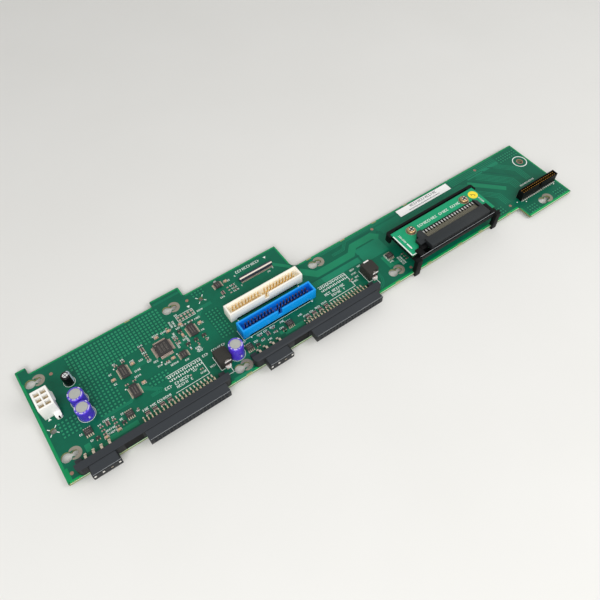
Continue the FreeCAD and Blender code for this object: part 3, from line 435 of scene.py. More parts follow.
def slab(bm, x, y, length, depth, base=0.0, height=film, turn=0.0):
    """A thin block on the board, from the middle of its foot."""
    place = (Matrix.Translation(spot(x, y, base + height / 2)) @ Matrix.Rotation(radians(turn), 4, "Z")
             @ Matrix.Diagonal((length * MM, depth * MM, height * MM, 1.0)))
    bmesh.ops.create_cube(bm, size=1.0, matrix=place)


def disc(bm, x, y, radius, base=0.0, height=film, sides=20, top=1.0, turn=0.0):
    """A flat disc, or a cone where its top is narrower or wider than its foot."""
    place = Matrix.Translation(spot(x, y, base + height / 2)) @ Matrix.Rotation(radians(turn), 4, "Z")
    bmesh.ops.create_cone(bm, cap_ends=True, segments=sides, radius1=radius * MM, radius2=radius * top * MM,
                          depth=height * MM, matrix=place)


def ring(bm, x, y, inner, outer, base=0.0, height=film, start=0.0, sweep=360.0, steps=32):
    """A ring or a part of one: a small upright section spun about its middle."""
    middle = spot(x, y, base)
    across = towards(start).to_3d() * MM
    rise = Vector((0.0, 0.0, height * MM))
    section = [bm.verts.new(middle + across * radius + lift)
               for radius, lift in ((inner, rise * 0), (outer, rise * 0), (outer, rise), (inner, rise))]
    sides = [bm.edges.new((section[number - 1], section[number])) for number in range(4)]
    bmesh.ops.spin(bm, geom=section + sides, cent=middle, axis=(0, 0, 1), angle=radians(sweep),
                   steps=steps, use_merge=sweep == 360.0)
    if sweep < 360.0:
        bmesh.ops.holes_fill(bm, edges=[edge for edge in bm.edges if edge.is_boundary], sides=4)


def only(kind, parts):
    """The vertices, edges or faces among the parts that an operator gives back."""
    return [part for part in parts if isinstance(part, kind)]


def strip(bm, points, width, base=0.0, height=film, shift=0.0):
    """A flat band of even width along a bent line, moved sideways by the shift."""
    line = [Vector(point) for point in points]
    ways = [(after - before).normalized() for before, after in zip(line, line[1:])]
    ways = [ways[0]] + ways + [ways[-1]]
    rims = []
    for place, before, after in zip(line, ways, ways[1:]):
        sides = [Vector((-way.y, way.x)) for way in (before, after)]
        mitre = (sides[0] + sides[1]) / (1.0 + sides[0].dot(sides[1]))
        rims.append([spot(*(place + mitre * (shift + side * width / 2)), base) for side in (-1, 1)])
    front = [bm.verts.new(rim) for rim in rims[0]]
    edge = bm.edges.new(front)
    faces = []
    for rim in rims[1:]:
        grown = bmesh.ops.extrude_edge_only(bm, edges=[edge])["geom"]
        moved = only(bmesh.types.BMVert, grown)
        if (moved[0].co - front[0].co).length > (moved[1].co - front[0].co).length:
            moved.reverse()
        edge = next(part for part in only(bmesh.types.BMEdge, grown) if set(part.verts) == set(moved))
        faces += only(bmesh.types.BMFace, grown)
        for vert, place in zip(moved, rim):
            vert.co = place
        front = moved
    raised = bmesh.ops.extrude_face_region(bm, geom=faces, use_keep_orig=True)["geom"]
    bmesh.ops.translate(bm, vec=(0.0, 0.0, height * MM), verts=only(bmesh.types.BMVert, raised))


def bundle(bm, points, count, pitch, width, base=0.0):
    """Tracks side by side along one line."""
    for number in range(count):
        strip(bm, points, width, base, copper_film, (number - (count - 1) / 2) * pitch)


def outline(bm, x, y, length, depth, width):
    """Four printed lines round a rectangle, from its lowest corner."""
    for side in (0, 1):
        slab(bm, x + length / 2, y + side * depth, length + width, width)
        slab(bm, x + side * length, y + depth / 2, width, depth - width)


def words(bm, x, y, length, tall=1.3, base=0.0, turn=0.0, stroke=0.28):
    """A row of upright and level strokes in place of print, from the middle of its left end."""
    along = towards(turn)
    across = Vector((-along.y, along.x))
    step = tall * 0.84
    for number in range(max(1, round(length / step))):
        kind = (number * 5 + int(x * 3 + y)) % 4
        middle = Vector((x, y)) + along * step * (number + 0.5)
        for side in ((-1, 1) if kind == 2 else (-1,)):
            place = middle + along * side * step * 0.28
            slab(bm, *place, stroke, tall * (0.7 if kind == 3 else 1.0), base, film, turn)
        for level in ((-0.4, 0.4) if kind in (0, 3) else (0.1,)):
            place = middle + across * level * tall
            slab(bm, *place, step * 0.62, stroke, base, film, turn)


def merged_copy(node, near=close_by):
    """A CAD node's mesh with its loose triangles joined."""
    bm = bmesh.new()
    bm.from_mesh(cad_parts[node].data)
    bmesh.ops.remove_doubles(bm, verts=bm.verts, dist=near * MM)
    return bm


def whole_faces(node):
    """A merged copy of a CAD node in which each flat stretch is one face."""
    bm = merged_copy(node)
    bmesh.ops.dissolve_limit(bm, angle_limit=radians(1.0), verts=bm.verts, edges=bm.edges,
                             use_dissolve_boundaries=False, delimit=set())
    return bm


def corners(places):
    """The lowest and the highest corner of the box round some places."""
    return [Vector(pick(place[axis] for place in places) for axis in range(3)) for pick in (min, max)]


def islands(node):
    """The vertices of each loose solid of a CAD node, from left to right, in the board's millimetres."""
    bm = merged_copy(node, close_by / 2)
    left = set(bm.verts)
    found = []
    while left:
        heap = [left.pop()]
        group = []
        while heap:
            vert = heap.pop()
            group.append(on_board(vert.co))
            near = {edge.other_vert(vert) for edge in vert.link_edges} & left
            left -= near
            heap += near
        found.append(group)
    bm.free()
    return sorted(found, key=lambda places: [round(value, 2) for value in corners(places)[0].xy])


def boxes(*nodes):
    """The two corners of each loose solid of some CAD nodes, in the board's millimetres."""
    return [corners(places) for node in nodes for places in islands(node)]


def soften(bm, edges, width, clamp=False):
    """Rounds edges, and no wider than their faces allow where that is asked for."""
    bmesh.ops.bevel(bm, geom=edges, offset=width * MM, offset_type="OFFSET", affect="EDGES", segments=2,
                    profile=0.5, material=-1, clamp_overlap=clamp)


def rounded(node, finish, width):
    """A merged copy of a CAD node with its sharp edges rounded, shown in the node's place."""
    bm = whole_faces(node)
    sharp = [edge for edge in bm.edges if len(edge.link_faces) == 2
             and edge.calc_face_angle() > radians(30.0) and edge.calc_length() > 3 * width * MM]
    soften(bm, sharp, width, clamp=True)
    bmesh.ops.remove_doubles(bm, verts=bm.verts, dist=close_by * MM)
    bmesh.ops.dissolve_degenerate(bm, edges=bm.edges, dist=close_by * MM)
    finished(node + "_rounded", bm, finish, smooth_angle, [node], outward=False)


def dressed(finish, *nodes):
    """Gives CAD nodes a finish."""
    for node in nodes:
        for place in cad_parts[node].material_slots:
            place.material = finish


# Camera at the photograph's angle
camera_turn = Vector((2.435305, -0.77773054, 0.23199225))
camera_place = spot(48.9, -162.3, 337.0)
camera_data = bpy.data.cameras.new("camera")
camera_data.lens = 35.672
camera_data.clip_start = 0.01
camera = bpy.data.objects.new("camera", camera_data)
bpy.context.scene.collection.objects.link(camera)
bpy.context.scene.camera = camera
sight = Matrix.Rotation(camera_turn.length, 3, camera_turn.normalized()).transposed()
sight = sight @ Matrix.Diagonal((1.0, -1.0, -1.0))
camera.matrix_world = Matrix.Translation(camera_place) @ sight.to_4x4()

# CAD nodes that keep their shape
dressed(board_mask, "circuit_board")
dressed(raised_mask, "piggyback_board")
dressed(gold_plate, "cream_header_pins", "stacking_pins", "power_inlet_pins")
dressed(blue_header_gold_and_shade, "blue_header_pins")
dressed(panel_gold_and_shade, "panel_header_pins")
dressed(signal_tin, "drive_0_signal_contacts", "drive_1_signal_contacts")
dressed(power_tin, "drive_0_power_contacts", "drive_1_power_contacts")
dressed(optical_tin_and_shadow, "optical_connector_contacts")
dressed(tin_leads, "inlet_capacitor_leads", "bay_capacitor_leads", "small_capacitor_leads",
        "buffer_chip_leads", "switch_chip_leads", "logic_chip_leads", "transistor_leads")
dressed(rosy_tin, "controller_chip_leads")
dressed(floppy_tin, "floppy_connector_leads")
dressed(clip_tin_and_shade, "filter_choke_terminals")
dressed(yellow_zinc, "piggyback_screws")
dressed(can_metal, "inlet_capacitor_cans", "bay_capacitor_cans")
dressed(bright_can, "small_capacitor_cans")
dressed(purple_film, "inlet_capacitor_sleeves", "bay_capacitor_sleeves")
dressed(black_film, "small_capacitor_sleeves")
dressed(label_paper, "asset_label")
dressed(sticker_paper, "round_sticker")

# Mouldings with rounded edges
for bay in (0, 1):
    rounded("drive_%d_connector_housing" % bay, black_moulding, 0.22)
rounded("blue_header_shroud", blue_moulding, 0.25)
rounded("cream_header_shroud", cream_moulding, 0.25)
rounded("power_inlet_housing", white_moulding, 0.2)
rounded("floppy_connector_housing", floppy_moulding, 0.15)
rounded("floppy_connector_bar", bar_moulding, 0.15)
# The panel header's shroud takes the bracket's near black, darker than the other black mouldings, partly as
# painted shade
rounded("panel_header_shroud", bracket_black_and_shade, 0.15)
rounded("piggyback_bracket", bracket_black_and_shade, 0.25)
rounded("optical_connector_housing", optical_moulding, 0.2)
rounded("stacking_socket", black_moulding, 0.15)
rounded("stacking_plug", black_moulding, 0.12)
rounded("filter_choke_cores", ferrite, 0.35)
chip_nodes = ("controller_chip", "buffer_chips", "switch_chips", "logic_chips")
for chips in chip_nodes:
    rounded(chips, chip_moulding, 0.16)
rounded("transistors", chip_moulding, 0.12)
rounded("resistor_packs", glazed_black, 0.06)
rounded("chip_resistors", glazed_black, 0.05)
rounded("ceramic_capacitors", tan_ceramic, 0.1)

# Lands under the leads, longer under the rear signal leads past the resistor packs
lands = bmesh.new()
land_margin = 0.12
foot_height = 0.02
rear_row = 12.0
packs_end = {"drive_0_signal_contacts": 73.0, "drive_1_signal_contacts": 193.4}
for node in ("drive_0_signal_contacts", "drive_1_signal_contacts", "drive_0_power_contacts",
             "drive_1_power_contacts", "floppy_connector_leads", "panel_header_pins",
             "controller_chip_leads", "buffer_chip_leads", "switch_chip_leads", "logic_chip_leads",
             "transistor_leads", "filter_choke_terminals"):
    for places in islands(node):
        low, high = corners([place for place in places if place.z < foot_height])
        longer = 0.0
        if node in packs_end and high.y > rear_row and low.x > packs_end[node]:
            longer = 1.2
        block(lands, spot(low.x - land_margin, low.y - land_margin),
              spot(high.x + land_margin, high.y + land_margin + longer, film))

# End caps and lands of the small parts
caps = bmesh.new()
cap_proud = Vector((0.03, 0.03, 0.03))
for node, share, ways in (("chip_resistors", 0.24, 1), ("ceramic_capacitors", 0.24, 1),
                          ("resistor_packs", 0.2, 4)):
    for low, high in boxes(node):
        size = high - low
        along = 0 if size.x > size.y else 1
        if ways > 1:
            along = 1 - along
        across = 1 - along
        for end in (0, 1):
            for way in range(ways):
                first = low.copy()
                last = high.copy()
                if ways > 1:
                    pitch = size[across] / ways
                    first[across] = low[across] + pitch * (way + 0.2)
                    last[across] = low[across] + pitch * (way + 0.8)
                if end == 0:
                    last[along] = low[along] + size[along] * share
                else:
                    first[along] = high[along] - size[along] * share
                block(caps, spot(*(first - cap_proud)), spot(*(last + cap_proud)))
                reach = Vector((0.1, 0.1, 0.0))
                reach[along] = 0.35
                block(lands, spot(*(first - reach).xy, low.z), spot(*(last + reach).xy, low.z + film))
finished("small_part_end_caps", caps, rosy_tin)
finished("lead_lands", lands, tin_leads)

# The one pale part
pale_part = bmesh.new()
pale_place = Vector((100.9, 38.2))
pale_proud = Vector((0.04, 0.04, 0.04))
for low, high in boxes("ceramic_capacitors", "chip_resistors"):
    middle = (low + high) / 2
    if (middle.xy - pale_place).length < 1.0:
        core = (high - low) * 0.5
        core[0 if core.x > core.y else 1] *= 0.56
        block(pale_part, spot(*(middle - core - pale_proud)), spot(*(middle + core + pale_proud)))
soften(pale_part, pale_part.edges, 0.1)
finished("pale_blue_part", pale_part, pale_blue_body)

# Painted highlights: bright tin tips at the power plugs' fronts, where the third contact shows none as it
# lies in shade
tips = bmesh.new()
for bay in (0, 1):
    for number, (low, high) in enumerate(boxes("drive_%d_power_contacts" % bay)):
        if number != 2:
            block(tips, spot(low.x + 0.1, low.y - 0.24, high.z - 0.2),
                  spot(high.x - 0.1, low.y + 0.1, high.z + 1.2))
soften(tips, tips.edges, 0.12)
finished("plug_contact_tips", tips, highlight_tin)

# Painted highlights along top front edges of the black mouldings: the drive plugs and the bracket's beam
edge_highlights = bmesh.new()
plug_top = 6.8
plug_front = -6.02
for left, right in ((14.2, 31.6), (134.6, 151.8), (50.5, 105.0), (171.0, 225.3)):
    slab(edge_highlights, (left + right) / 2, plug_front, right - left, 0.16, plug_top)
beam_top = (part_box("piggyback_bracket")[1].z - board_high.z) / MM
slab(edge_highlights, 300.2, 0.98, 72.0, 0.26, beam_top + 0.01)
finished("painted_edge_highlights", edge_highlights, edge_highlight_grey)

# Clip plates and lugs of the chokes, and the rear clip of the right one, in bright white that is partly the
# tin's own colour and partly painted highlight
clips = bmesh.new()
lugs = bmesh.new()
recess_offset = 3.4
chokes = boxes("filter_choke_cores")
for low, high in chokes:
    recess = low.x + recess_offset
    block(clips, spot(recess - 0.4, low.y - 0.14, 5.2), spot(recess + 4.2, low.y + 0.02, 6.3))
    ring(lugs, recess + 1.6, low.y, 1.1, 2.0, 0.0, 1.5, 180.0, 180.0, 14)
low, high = chokes[1]
block(clips, spot(low.x + 2.4, high.y - 0.9, high.z), spot(low.x + 6.6, high.y + 0.06, high.z + 0.2))
block(clips, spot(low.x + 2.5, high.y, high.z - 1.6), spot(low.x + 6.5, high.y + 0.12, high.z + 0.12))
finished("choke_clips", clips, tin_white_and_highlight)
finished("choke_lugs", lugs, tin_white_and_highlight, smooth_angle)

# Painted shade in the reliefs under the ribbon headers: a dark back wall and a dark sheet on the board
# beneath each
relief_shade = bmesh.new()
for node in ("blue_header_shroud", "cream_header_shroud"):
    low, high = (on_board(corner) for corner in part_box(node))
    block(relief_shade, spot(low.x + 4.8, low.y + 0.5, 0.0), spot(high.x - 4.8, low.y + 0.9, 1.18))
    block(relief_shade, spot(low.x + 4.9, low.y - 0.1, 0.0), spot(high.x - 4.9, low.y + 0.54, 0.02))
finished("header_relief_shade", relief_shade, bracket_black_and_shade)

# Front ear of the optical connector
ear = bmesh.new()
block(ear, spot(270.1, 5.4, raised_face - 1.6), spot(275.66, 9.6, raised_face + 1.4))
soften(ear, ear.edges, 0.25)
finished("optical_front_ear", ear, bracket_black_and_shade)

# Painted shade: dark sheets where shade falls by the optical contacts, at the raised board's left edge,
# between the drive plugs and in the inlet's ear
painted_shade = bmesh.new()
slab(painted_shade, 303.8, 17.7, 51.6, 2.9, raised_face + 1.0, shade_film)
block(painted_shade, spot(261.0, 6.0, raised_face - 1.6), spot(261.19, 29.8, raised_face))
for left in (36.6, 156.9):
    block(painted_shade, spot(left, 0.26, 0.3), spot(left + 11.8, 0.32, 6.9))
block(painted_shade, spot(11.9, 41.02, 0.6), spot(12.9, 41.9, 2.63))
finished("painted_shade_sheets", painted_shade, bracket_black_and_shade)

# Painted shade in the screws' cross slots, and painted glints beside them
slots = bmesh.new()
glints = bmesh.new()
slot_depth = 0.3
glint_radius = 1.3
for low, high in boxes("piggyback_screws"):
    middle = ((low + high) / 2).xy
    slot_base = high.z - slot_depth
    for turned in (20.0, 110.0):
        slab(slots, *middle, 4.0, 1.15, slot_base, 0.34, turned)
    for angle in (65.0, 155.0, 245.0, 335.0):
        slab(glints, *(middle + towards(angle) * glint_radius), 1.2, 0.6, slot_base, 0.36, angle + 90.0)
finished("screw_slot_shade", slots, screw_shadow)
finished("screw_slot_glints", glints, highlight_tin)

# Rings round the keyholes' seats, as inner and outer radius and half the sweep, and round the screws
seat_rings = bmesh.new()
keyhole_entries = [(5.4, 74.0), (5.4, 16.0), (101.8, 73.3), (118.7, 6.8), (205.5, 47.5), (248.0, 8.5),
                   (387.55, -5.0)]
seat_offset = 5.3
seat_bands = ((2.02, 2.3, 97.0), (2.3, 2.9, 118.0), (2.9, 4.2, 136.0))
for x, y in keyhole_entries:
    for base in (0.0, under_face):
        for inner, outer, reach in seat_bands:
            ring(seat_rings, x + seat_offset, y, inner, outer, base, film, -reach, 2 * reach, 26)
for low, high in boxes("piggyback_screws"):
    ring(seat_rings, *((low + high) / 2).xy, 3.3, 4.0, raised_face)
finished("seat_rings", seat_rings, dull_tin)

# Screw hole's ring and the targets
copper = bmesh.new()
for base in (0.0, under_face):
    ring(copper, *screw_hole, 2.02, 2.8, base)
for x, y in ((19.0, 73.5), (4.3, 5.6), (117.0, 72.7), (261.5, 49.0), (261.5, 5.0), (368.5, 49.5),
             (363.0, 5.5)):
    disc(copper, x, y, 1.15)
finished("copper_targets", copper, bare_copper)


# Bright bands along the board's rims
def straight_rims(node, shortest):
    """The straight upper rims of a plate: both ends and the way inwards, in the board's millimetres."""
    bm = whole_faces(node)
    top = max(vert.co.z for vert in bm.verts)
    rims = []
    for edge in bm.edges:
        walls = [face for face in edge.link_faces if abs(face.normal.z) < 0.1]
        level = all(abs(vert.co.z - top) < 0.01 * MM for vert in edge.verts)
        if len(walls) == 1 and level and edge.calc_length() > shortest * MM:
            rims.append([on_board(vert.co) for vert in edge.verts] + [-walls[0].normal.copy()])
    bm.free()
    return rims


band = bmesh.new()
front_band = bmesh.new()
pale_rim = bmesh.new()
band_width = 1.15
front_band_width = 1.8
for first, last, inward in straight_rims("circuit_board", 5.0):
    way = last - first
    turned = degrees(atan2(way.y, way.x))
    faces_front = inward.y > 0.9
    width = front_band_width if faces_front else band_width
    middle = (first + last) / 2 + inward * width / 2
    slab(front_band if faces_front else band, *middle.xy, way.length, width, 0.0, band_film, turned)
    if faces_front:
        middle = (first + last) / 2 + inward * 0.1
        slab(pale_rim, *middle.xy, way.length, 0.26, -0.35, 0.36, turned)
finished("pale_front_rims", pale_rim, pale_laminate)
slab(band, 1.6, 5.4, 3.2, 9.2, 0.0, field_film)
slab(band, 0.9, 43.4, 1.8, 66.0, 0.0, field_film)
finished("edge_band", band, edge_mask)
finished("front_edge_band", front_band, front_mask)

# Copper squares under the mask, in darker fields, where no part stands
margin = Vector((1.6, 1.6, 0.0))
taken = boxes("chip_resistors", "ceramic_capacitors", "resistor_packs", "transistors",
              "power_inlet_housing", "inlet_capacitor_sleeves", "small_capacitor_sleeves",
              "bay_capacitor_sleeves", "cream_header_shroud", "blue_header_shroud",
              "floppy_connector_housing", *chip_nodes)
taken = [(low - margin, high + margin) for low, high in taken]


def free(x, y):
    """Tells whether no part stands near a place."""
    return not any(low.x < x < high.x and low.y < y < high.y for low, high in taken)


squares = bmesh.new()
deep = bmesh.new()
square_pitch = 2.5
for left, right, front, back, size in (
        (30.85, 96.0, 58.2, 78.4, 1.5), (30.85, 49.0, 28.2, 57.0, 1.25), (9.6, 20.0, 28.2, 40.0, 1.25),
        (67.3, 81.0, 28.2, 33.5, 1.25), (122.4, 131.0, 33.2, 56.5, 1.25), (122.4, 131.0, 73.0, 77.0, 1.2),
        (392.6, 411.0, 43.8, 50.6, 1.2), (372.4, 381.4, -8.6, -3.2, 1.25),
        (401.2, 410.0, -8.6, -3.2, 1.25), (346.0, 357.0, 3.8, 10.6, 1.2)):
    columns = int((right - left) / square_pitch) + 1
    rows = int((back - front) / square_pitch) + 1
    slab(deep, left + (columns - 1) * square_pitch / 2, front + (rows - 1) * square_pitch / 2,
         columns * square_pitch, rows * square_pitch, 0.0, field_film)
    for column in range(columns):
        for row in range(rows):
            x = left + column * square_pitch
            y = front + row * square_pitch
            if free(x, y):
                slab(squares, x, y, size, size, 0.0, copper_film)
finished("copper_squares", squares, copper_square)

# Copper pours under the mask
pours = bmesh.new()
for points, width in (
        ([(194.4, 48.2), (203.6, 39.0), (234.0, 39.0), (239.4, 44.4), (256.6, 44.4), (260.6, 40.4)], 5.4),
        ([(352.6, 41.6), (374.4, 20.6)], 4.2),
        ([(181.6, 66.0), (192.0, 55.4)], 2.6)):
    strip(pours, points, width, 0.0, copper_film)
for x, y, length, depth in (
        (40.0, 11.9, 20.0, 3.2), (18.4, 14.4, 3.6, 5.2), (27.0, 10.4, 5.6, 1.8), (165.0, 11.8, 15.0, 3.0),
        (157.0, 13.6, 5.0, 2.4), (251.4, 18.6, 4.4, 11.0), (257.3, 14.4, 6.6, 2.6),
        (119.0, 1.5, 14.0, 2.6), (344.0, 14.6, 3.0, 9.0), (341.0, 2.4, 8.0, 3.4)):
    slab(pours, x, y, length, depth, 0.0, copper_film)
finished("copper_pours", pours, copper_pour)
soft = bmesh.new()
for x, y, length, depth in ((248.6, 33.6, 22.0, 13.4), (219.6, 32.4, 32.0, 5.6), (373.0, 45.6, 34.0, 3.0)):
    slab(soft, x, y, length, depth, 0.0, soft_film)
finished("soft_pours", soft, soft_pour)

# Copper tracks under the mask: a line, how many run along it, how far apart and how wide
tracks = bmesh.new()
for points, count, pitch, width in (
        ([(206.0, 51.8), (262.0, 51.8), (286.0, 51.8)], 3, 0.9, 0.34),
        ([(340.5, 49.4), (366.0, 49.4), (390.0, 49.4)], 5, 1.5, 0.5),
        ([(264.0, 46.6), (286.0, 46.6)], 4, 1.2, 0.4),
        ([(266.0, 42.6), (346.0, 42.6), (354.0, 38.0)], 4, 1.0, 0.34),
        ([(364.0, 44.0), (384.0, 24.0), (384.0, 16.0)], 5, 1.5, 0.5),
        ([(384.0, 44.5), (397.0, 31.5), (397.0, 18.0)], 4, 1.4, 0.45),
        ([(352.0, 30.0), (364.0, 18.0), (364.0, 8.5)], 4, 1.5, 0.5),
        ([(60.0, 32.0), (68.0, 26.0), (74.5, 20.6)], 4, 0.7, 0.34),
        ([(192.0, 32.6), (224.0, 32.6), (236.0, 32.6)], 4, 1.0, 0.34),
        ([(222.0, 46.0), (232.0, 46.0), (237.0, 51.0)], 3, 0.9, 0.34),
        ([(116.0, 56.0), (122.0, 62.0), (130.0, 62.0)], 4, 0.7, 0.34),
        ([(64.0, 22.5), (74.0, 22.5)], 3, 0.8, 0.34),
        ([(34.0, 26.5), (52.0, 26.5), (54.5, 28.5)], 3, 0.7, 0.34),
        ([(96.0, 82.5), (116.0, 82.5)], 2, 0.9, 0.34),
        ([(232.0, 3.0), (236.4, 5.6), (238.6, 9.4), (239.2, 14.0)], 2, 1.2, 0.4),
        ([(62.0, 44.5), (68.0, 47.0), (76.0, 47.0)], 4, 0.9, 0.3),
        ([(97.0, 44.0), (104.0, 50.0), (104.0, 57.0)], 3, 0.8, 0.3),
):
    bundle(tracks, points, count, pitch, width)
finished("copper_tracks", tracks, copper_track)
for points, width in (
        ([(192.0, 36.0), (202.0, 34.9), (238.0, 34.9)], 1.6), ([(240.0, 48.4), (262.0, 48.4)], 1.4),
        ([(357.6, 41.4), (376.4, 22.6)], 1.4), ([(262.0, 44.6), (286.0, 44.6)], 1.4),
        ([(340.0, 46.0), (372.0, 46.0)], 1.2), ([(340.0, 42.0), (350.0, 42.0)], 1.6),
        ([(372.0, 45.0), (396.0, 21.0)], 1.2), ([(378.0, 47.0), (390.0, 36.0)], 1.0),
        ([(290.0, 43.2), (340.0, 43.2)], 1.6), ([(207.0, 41.8), (233.0, 41.8), (239.0, 47.6)], 0.7)):
    strip(deep, points, width, 0.0, shadow_film)
finished("deep_mask_fields", deep, deep_mask)

# White print on the board: small rows, then large ones, then upright ones
marks = bmesh.new()
for x, y, length in (
        (17.0, 24.2, 2.0), (28.5, 23.5, 2.5), (32.0, 24.2, 4.5), (37.5, 23.5, 2.5), (43.0, 22.2, 2.0),
        (52.0, 18.8, 2.5), (31.0, 17.4, 6.6), (31.0, 15.0, 6.2), (21.0, 17.1, 2.0), (53.2, 56.3, 2.4),
        (58.9, 56.4, 2.4), (48.3, 42.8, 2.4), (48.3, 50.8, 2.4), (63.2, 52.0, 3.0), (63.0, 43.8, 4.0),
        (61.2, 40.0, 4.2), (63.0, 33.2, 3.6), (41.0, 19.4, 2.4), (83.8, 60.3, 4.2), (89.6, 59.4, 4.2),
        (72.6, 58.9, 3.8), (72.6, 52.8, 3.6), (68.6, 49.2, 3.4), (72.8, 45.4, 3.6), (76.0, 42.6, 3.2),
        (76.8, 38.4, 3.2), (81.2, 37.3, 4.6), (84.0, 34.3, 5.2), (93.2, 32.3, 3.0), (103.0, 36.2, 3.6),
        (103.0, 33.6, 4.0), (99.6, 56.7, 3.0), (103.4, 56.7, 4.2), (108.6, 56.7, 4.4), (113.6, 56.4, 4.2),
        (113.6, 51.4, 4.2), (113.2, 46.2, 2.6), (112.6, 38.4, 2.6), (93.6, 22.6, 3.4), (96.8, 18.4, 4.2),
        (104.0, 18.6, 4.0), (94.4, 46.0, 3.2), (94.4, 52.4, 2.4), (99.4, 46.4, 3.6), (118.2, 61.0, 4.2),
        (103.6, 66.6, 2.6), (129.8, 22.0, 3.0), (136.6, 17.9, 2.8), (141.0, 21.0, 4.0),
        (146.0, 21.0, 3.6), (151.0, 21.0, 4.0), (159.0, 20.7, 2.8), (141.2, 16.0, 3.2),
        (145.2, 14.0, 3.4), (151.2, 16.4, 3.2), (156.0, 16.6, 2.8), (172.0, 17.9, 3.0),
        (137.0, 61.0, 3.8), (139.8, 75.4, 2.4), (146.2, 71.1, 4.2), (147.4, 66.0, 4.4),
        (147.4, 63.4, 4.4), (147.4, 60.8, 4.4), (154.4, 71.6, 1.2), (154.4, 61.8, 1.2),
        (176.0, 61.0, 2.6), (180.6, 62.4, 1.2), (223.6, 27.6, 4.2), (230.2, 27.6, 3.0),
        (222.6, 24.4, 4.2), (223.2, 21.0, 2.8), (219.6, 18.7, 4.2), (252.2, 17.1, 3.6),
        (385.0, 15.8, 15.0), (174.6, 15.4, 4.4), (180.0, 15.8, 3.6), (184.8, 16.2, 4.4),
        (190.4, 16.6, 4.4)):
    words(marks, x, y, length)
for x, y, length, tall in (
        (55.0, 16.6, 4.2, 1.6), (60.2, 16.6, 4.0, 1.6), (65.0, 16.6, 5.0, 1.6), (70.6, 16.6, 4.6, 1.6),
        (72.8, 21.4, 4.8, 2.1), (79.8, 21.4, 11.0, 2.1), (79.8, 18.6, 7.2, 1.9), (89.8, 18.6, 1.6, 1.9),
        (103.6, 28.4, 5.0, 1.8), (110.4, 28.4, 11.2, 1.8), (156.6, 73.6, 21.0, 2.2),
        (196.6, 21.0, 4.6, 2.1), (203.0, 21.0, 11.4, 2.1), (200.6, 18.1, 7.2, 1.9),
        (210.6, 18.1, 1.6, 1.9)):
    words(marks, x, y, length, tall, stroke=0.36)
for x, y, length in (
        (252.6, 18.6, 6.4), (259.4, 10.0, 7.6), (261.4, 10.0, 7.6), (98.4, 59.0, 5.6), (96.6, 50.0, 6.0),
        (100.6, 58.6, 5.0), (95.0, 42.6, 5.6), (102.4, 43.0, 5.0), (104.2, 32.4, 4.6),
        (106.0, 32.4, 4.6)):
    words(marks, x, y, length, turn=90.0)

# White triangles, dots and crosses, and the ring round the screw hole
for x, y, turned in ((6.4, 44.2, 0.0), (115.5, 67.9, 180.0), (181.3, 73.5, 180.0)):
    disc(marks, x, y, 1.25, sides=3, turn=turned)
for x, y in (
        (137.6, 22.2), (186.8, 22.2), (137.3, 38.2), (186.5, 38.2), (370.0, 5.0), (376.5, 1.5),
        (408.2, 2.2), (52.9, 35.8), (52.9, 53.2), (80.3, 39.9), (91.2, 39.6)):
    disc(marks, x, y, 0.5, sides=8)
cross_radius = 3.1
for x, y in ((5.4, 36.0), (125.5, 68.3)):
    for angle in (45, 135, 225, 315):
        slab(marks, *(Vector((x, y)) + towards(angle) * cross_radius), 1.8, 0.5, turn=angle)
ring(marks, *screw_hole, 5.3, 6.0, steps=40)

# Framed fields behind the drive connectors, with two rows of strokes
field_columns = 16
for left, right in ((77.4, 101.6), (196.2, 219.2)):
    for row in (27.4, 24.7):
        for column in range(field_columns):
            x = left + 0.9 + column * (right - left - 1.6) / (field_columns - 1)
            slab(marks, x, row, 0.5, 1.7 if column % 3 else 1.1)
            slab(marks, x + 0.45, row + (0.5 if column % 2 else -0.5), 0.7, 0.36)
    slab(marks, (left + right) / 2, 28.9, right - left, 0.3)
    slab(marks, (left + right) / 2, 15.3, right - left, 0.36)
    slab(marks, right, 22.0, 0.4, 13.6)

# White lines, rings round the capacitors and the raised board's print
for x, y, length, depth in (
        (108.8, 18.2, 0.36, 12.0), (111.4, 12.3, 5.4, 0.36), (114.8, 10.0, 0.36, 4.2),
        (113.0, 7.2, 4.2, 0.36), (228.9, 18.0, 0.36, 12.0), (231.6, 12.0, 5.4, 0.36),
        (234.8, 9.4, 0.36, 5.2), (160.0, 22.8, 56.6, 0.2), (132.2, 27.6, 0.3, 9.0),
        (384.6, 3.6, 22.4, 0.3), (404.4, 3.6, 12.8, 0.3)):
    slab(marks, x, y, length, depth)
outline(marks, 104.0, 60.0, 12.6, 5.4, 0.26)
for low, high in boxes("inlet_capacitor_sleeves", "small_capacitor_sleeves", "bay_capacitor_sleeves"):
    radius = (high.x - low.x) / 2
    ring(marks, *((low + high) / 2).xy, radius + 0.35, radius + 0.6)
slab(marks, 261.75, 16.6, 0.9, 20.8, raised_face)
slab(marks, 263.8, 6.2, 4.0, 0.7, raised_face)
slab(marks, 265.5, 13.8, 1.0, 5.4, raised_face)
words(marks, 265.5, 17.6, 8.0, 1.4, raised_face, 90.0)
words(marks, 338.9, 14.0, 6.0, 1.4, raised_face, 90.0)
for x, length in ((282.4, 17.6), (302.8, 10.0), (314.4, 8.4)):
    words(marks, x, 24.1, length, 2.2, raised_face, stroke=0.42)
finished("white_print_marks", marks, white_print)

# Plated test lands
test_lands = bmesh.new()
for x in (105.3, 107.8, 110.4, 112.9, 115.4):
    for y in (64.0, 61.4):
        slab(test_lands, x, y, 1.5, 1.5)
for x, y in (
        (145.6, 66.0), (145.6, 63.4), (145.6, 60.8), (220.9, 21.2), (94.6, 60.8), (96.4, 58.6),
        (91.0, 21.0)):
    slab(test_lands, x, y, 1.4, 0.9)
finished("test_lands", test_lands, rosy_tin)

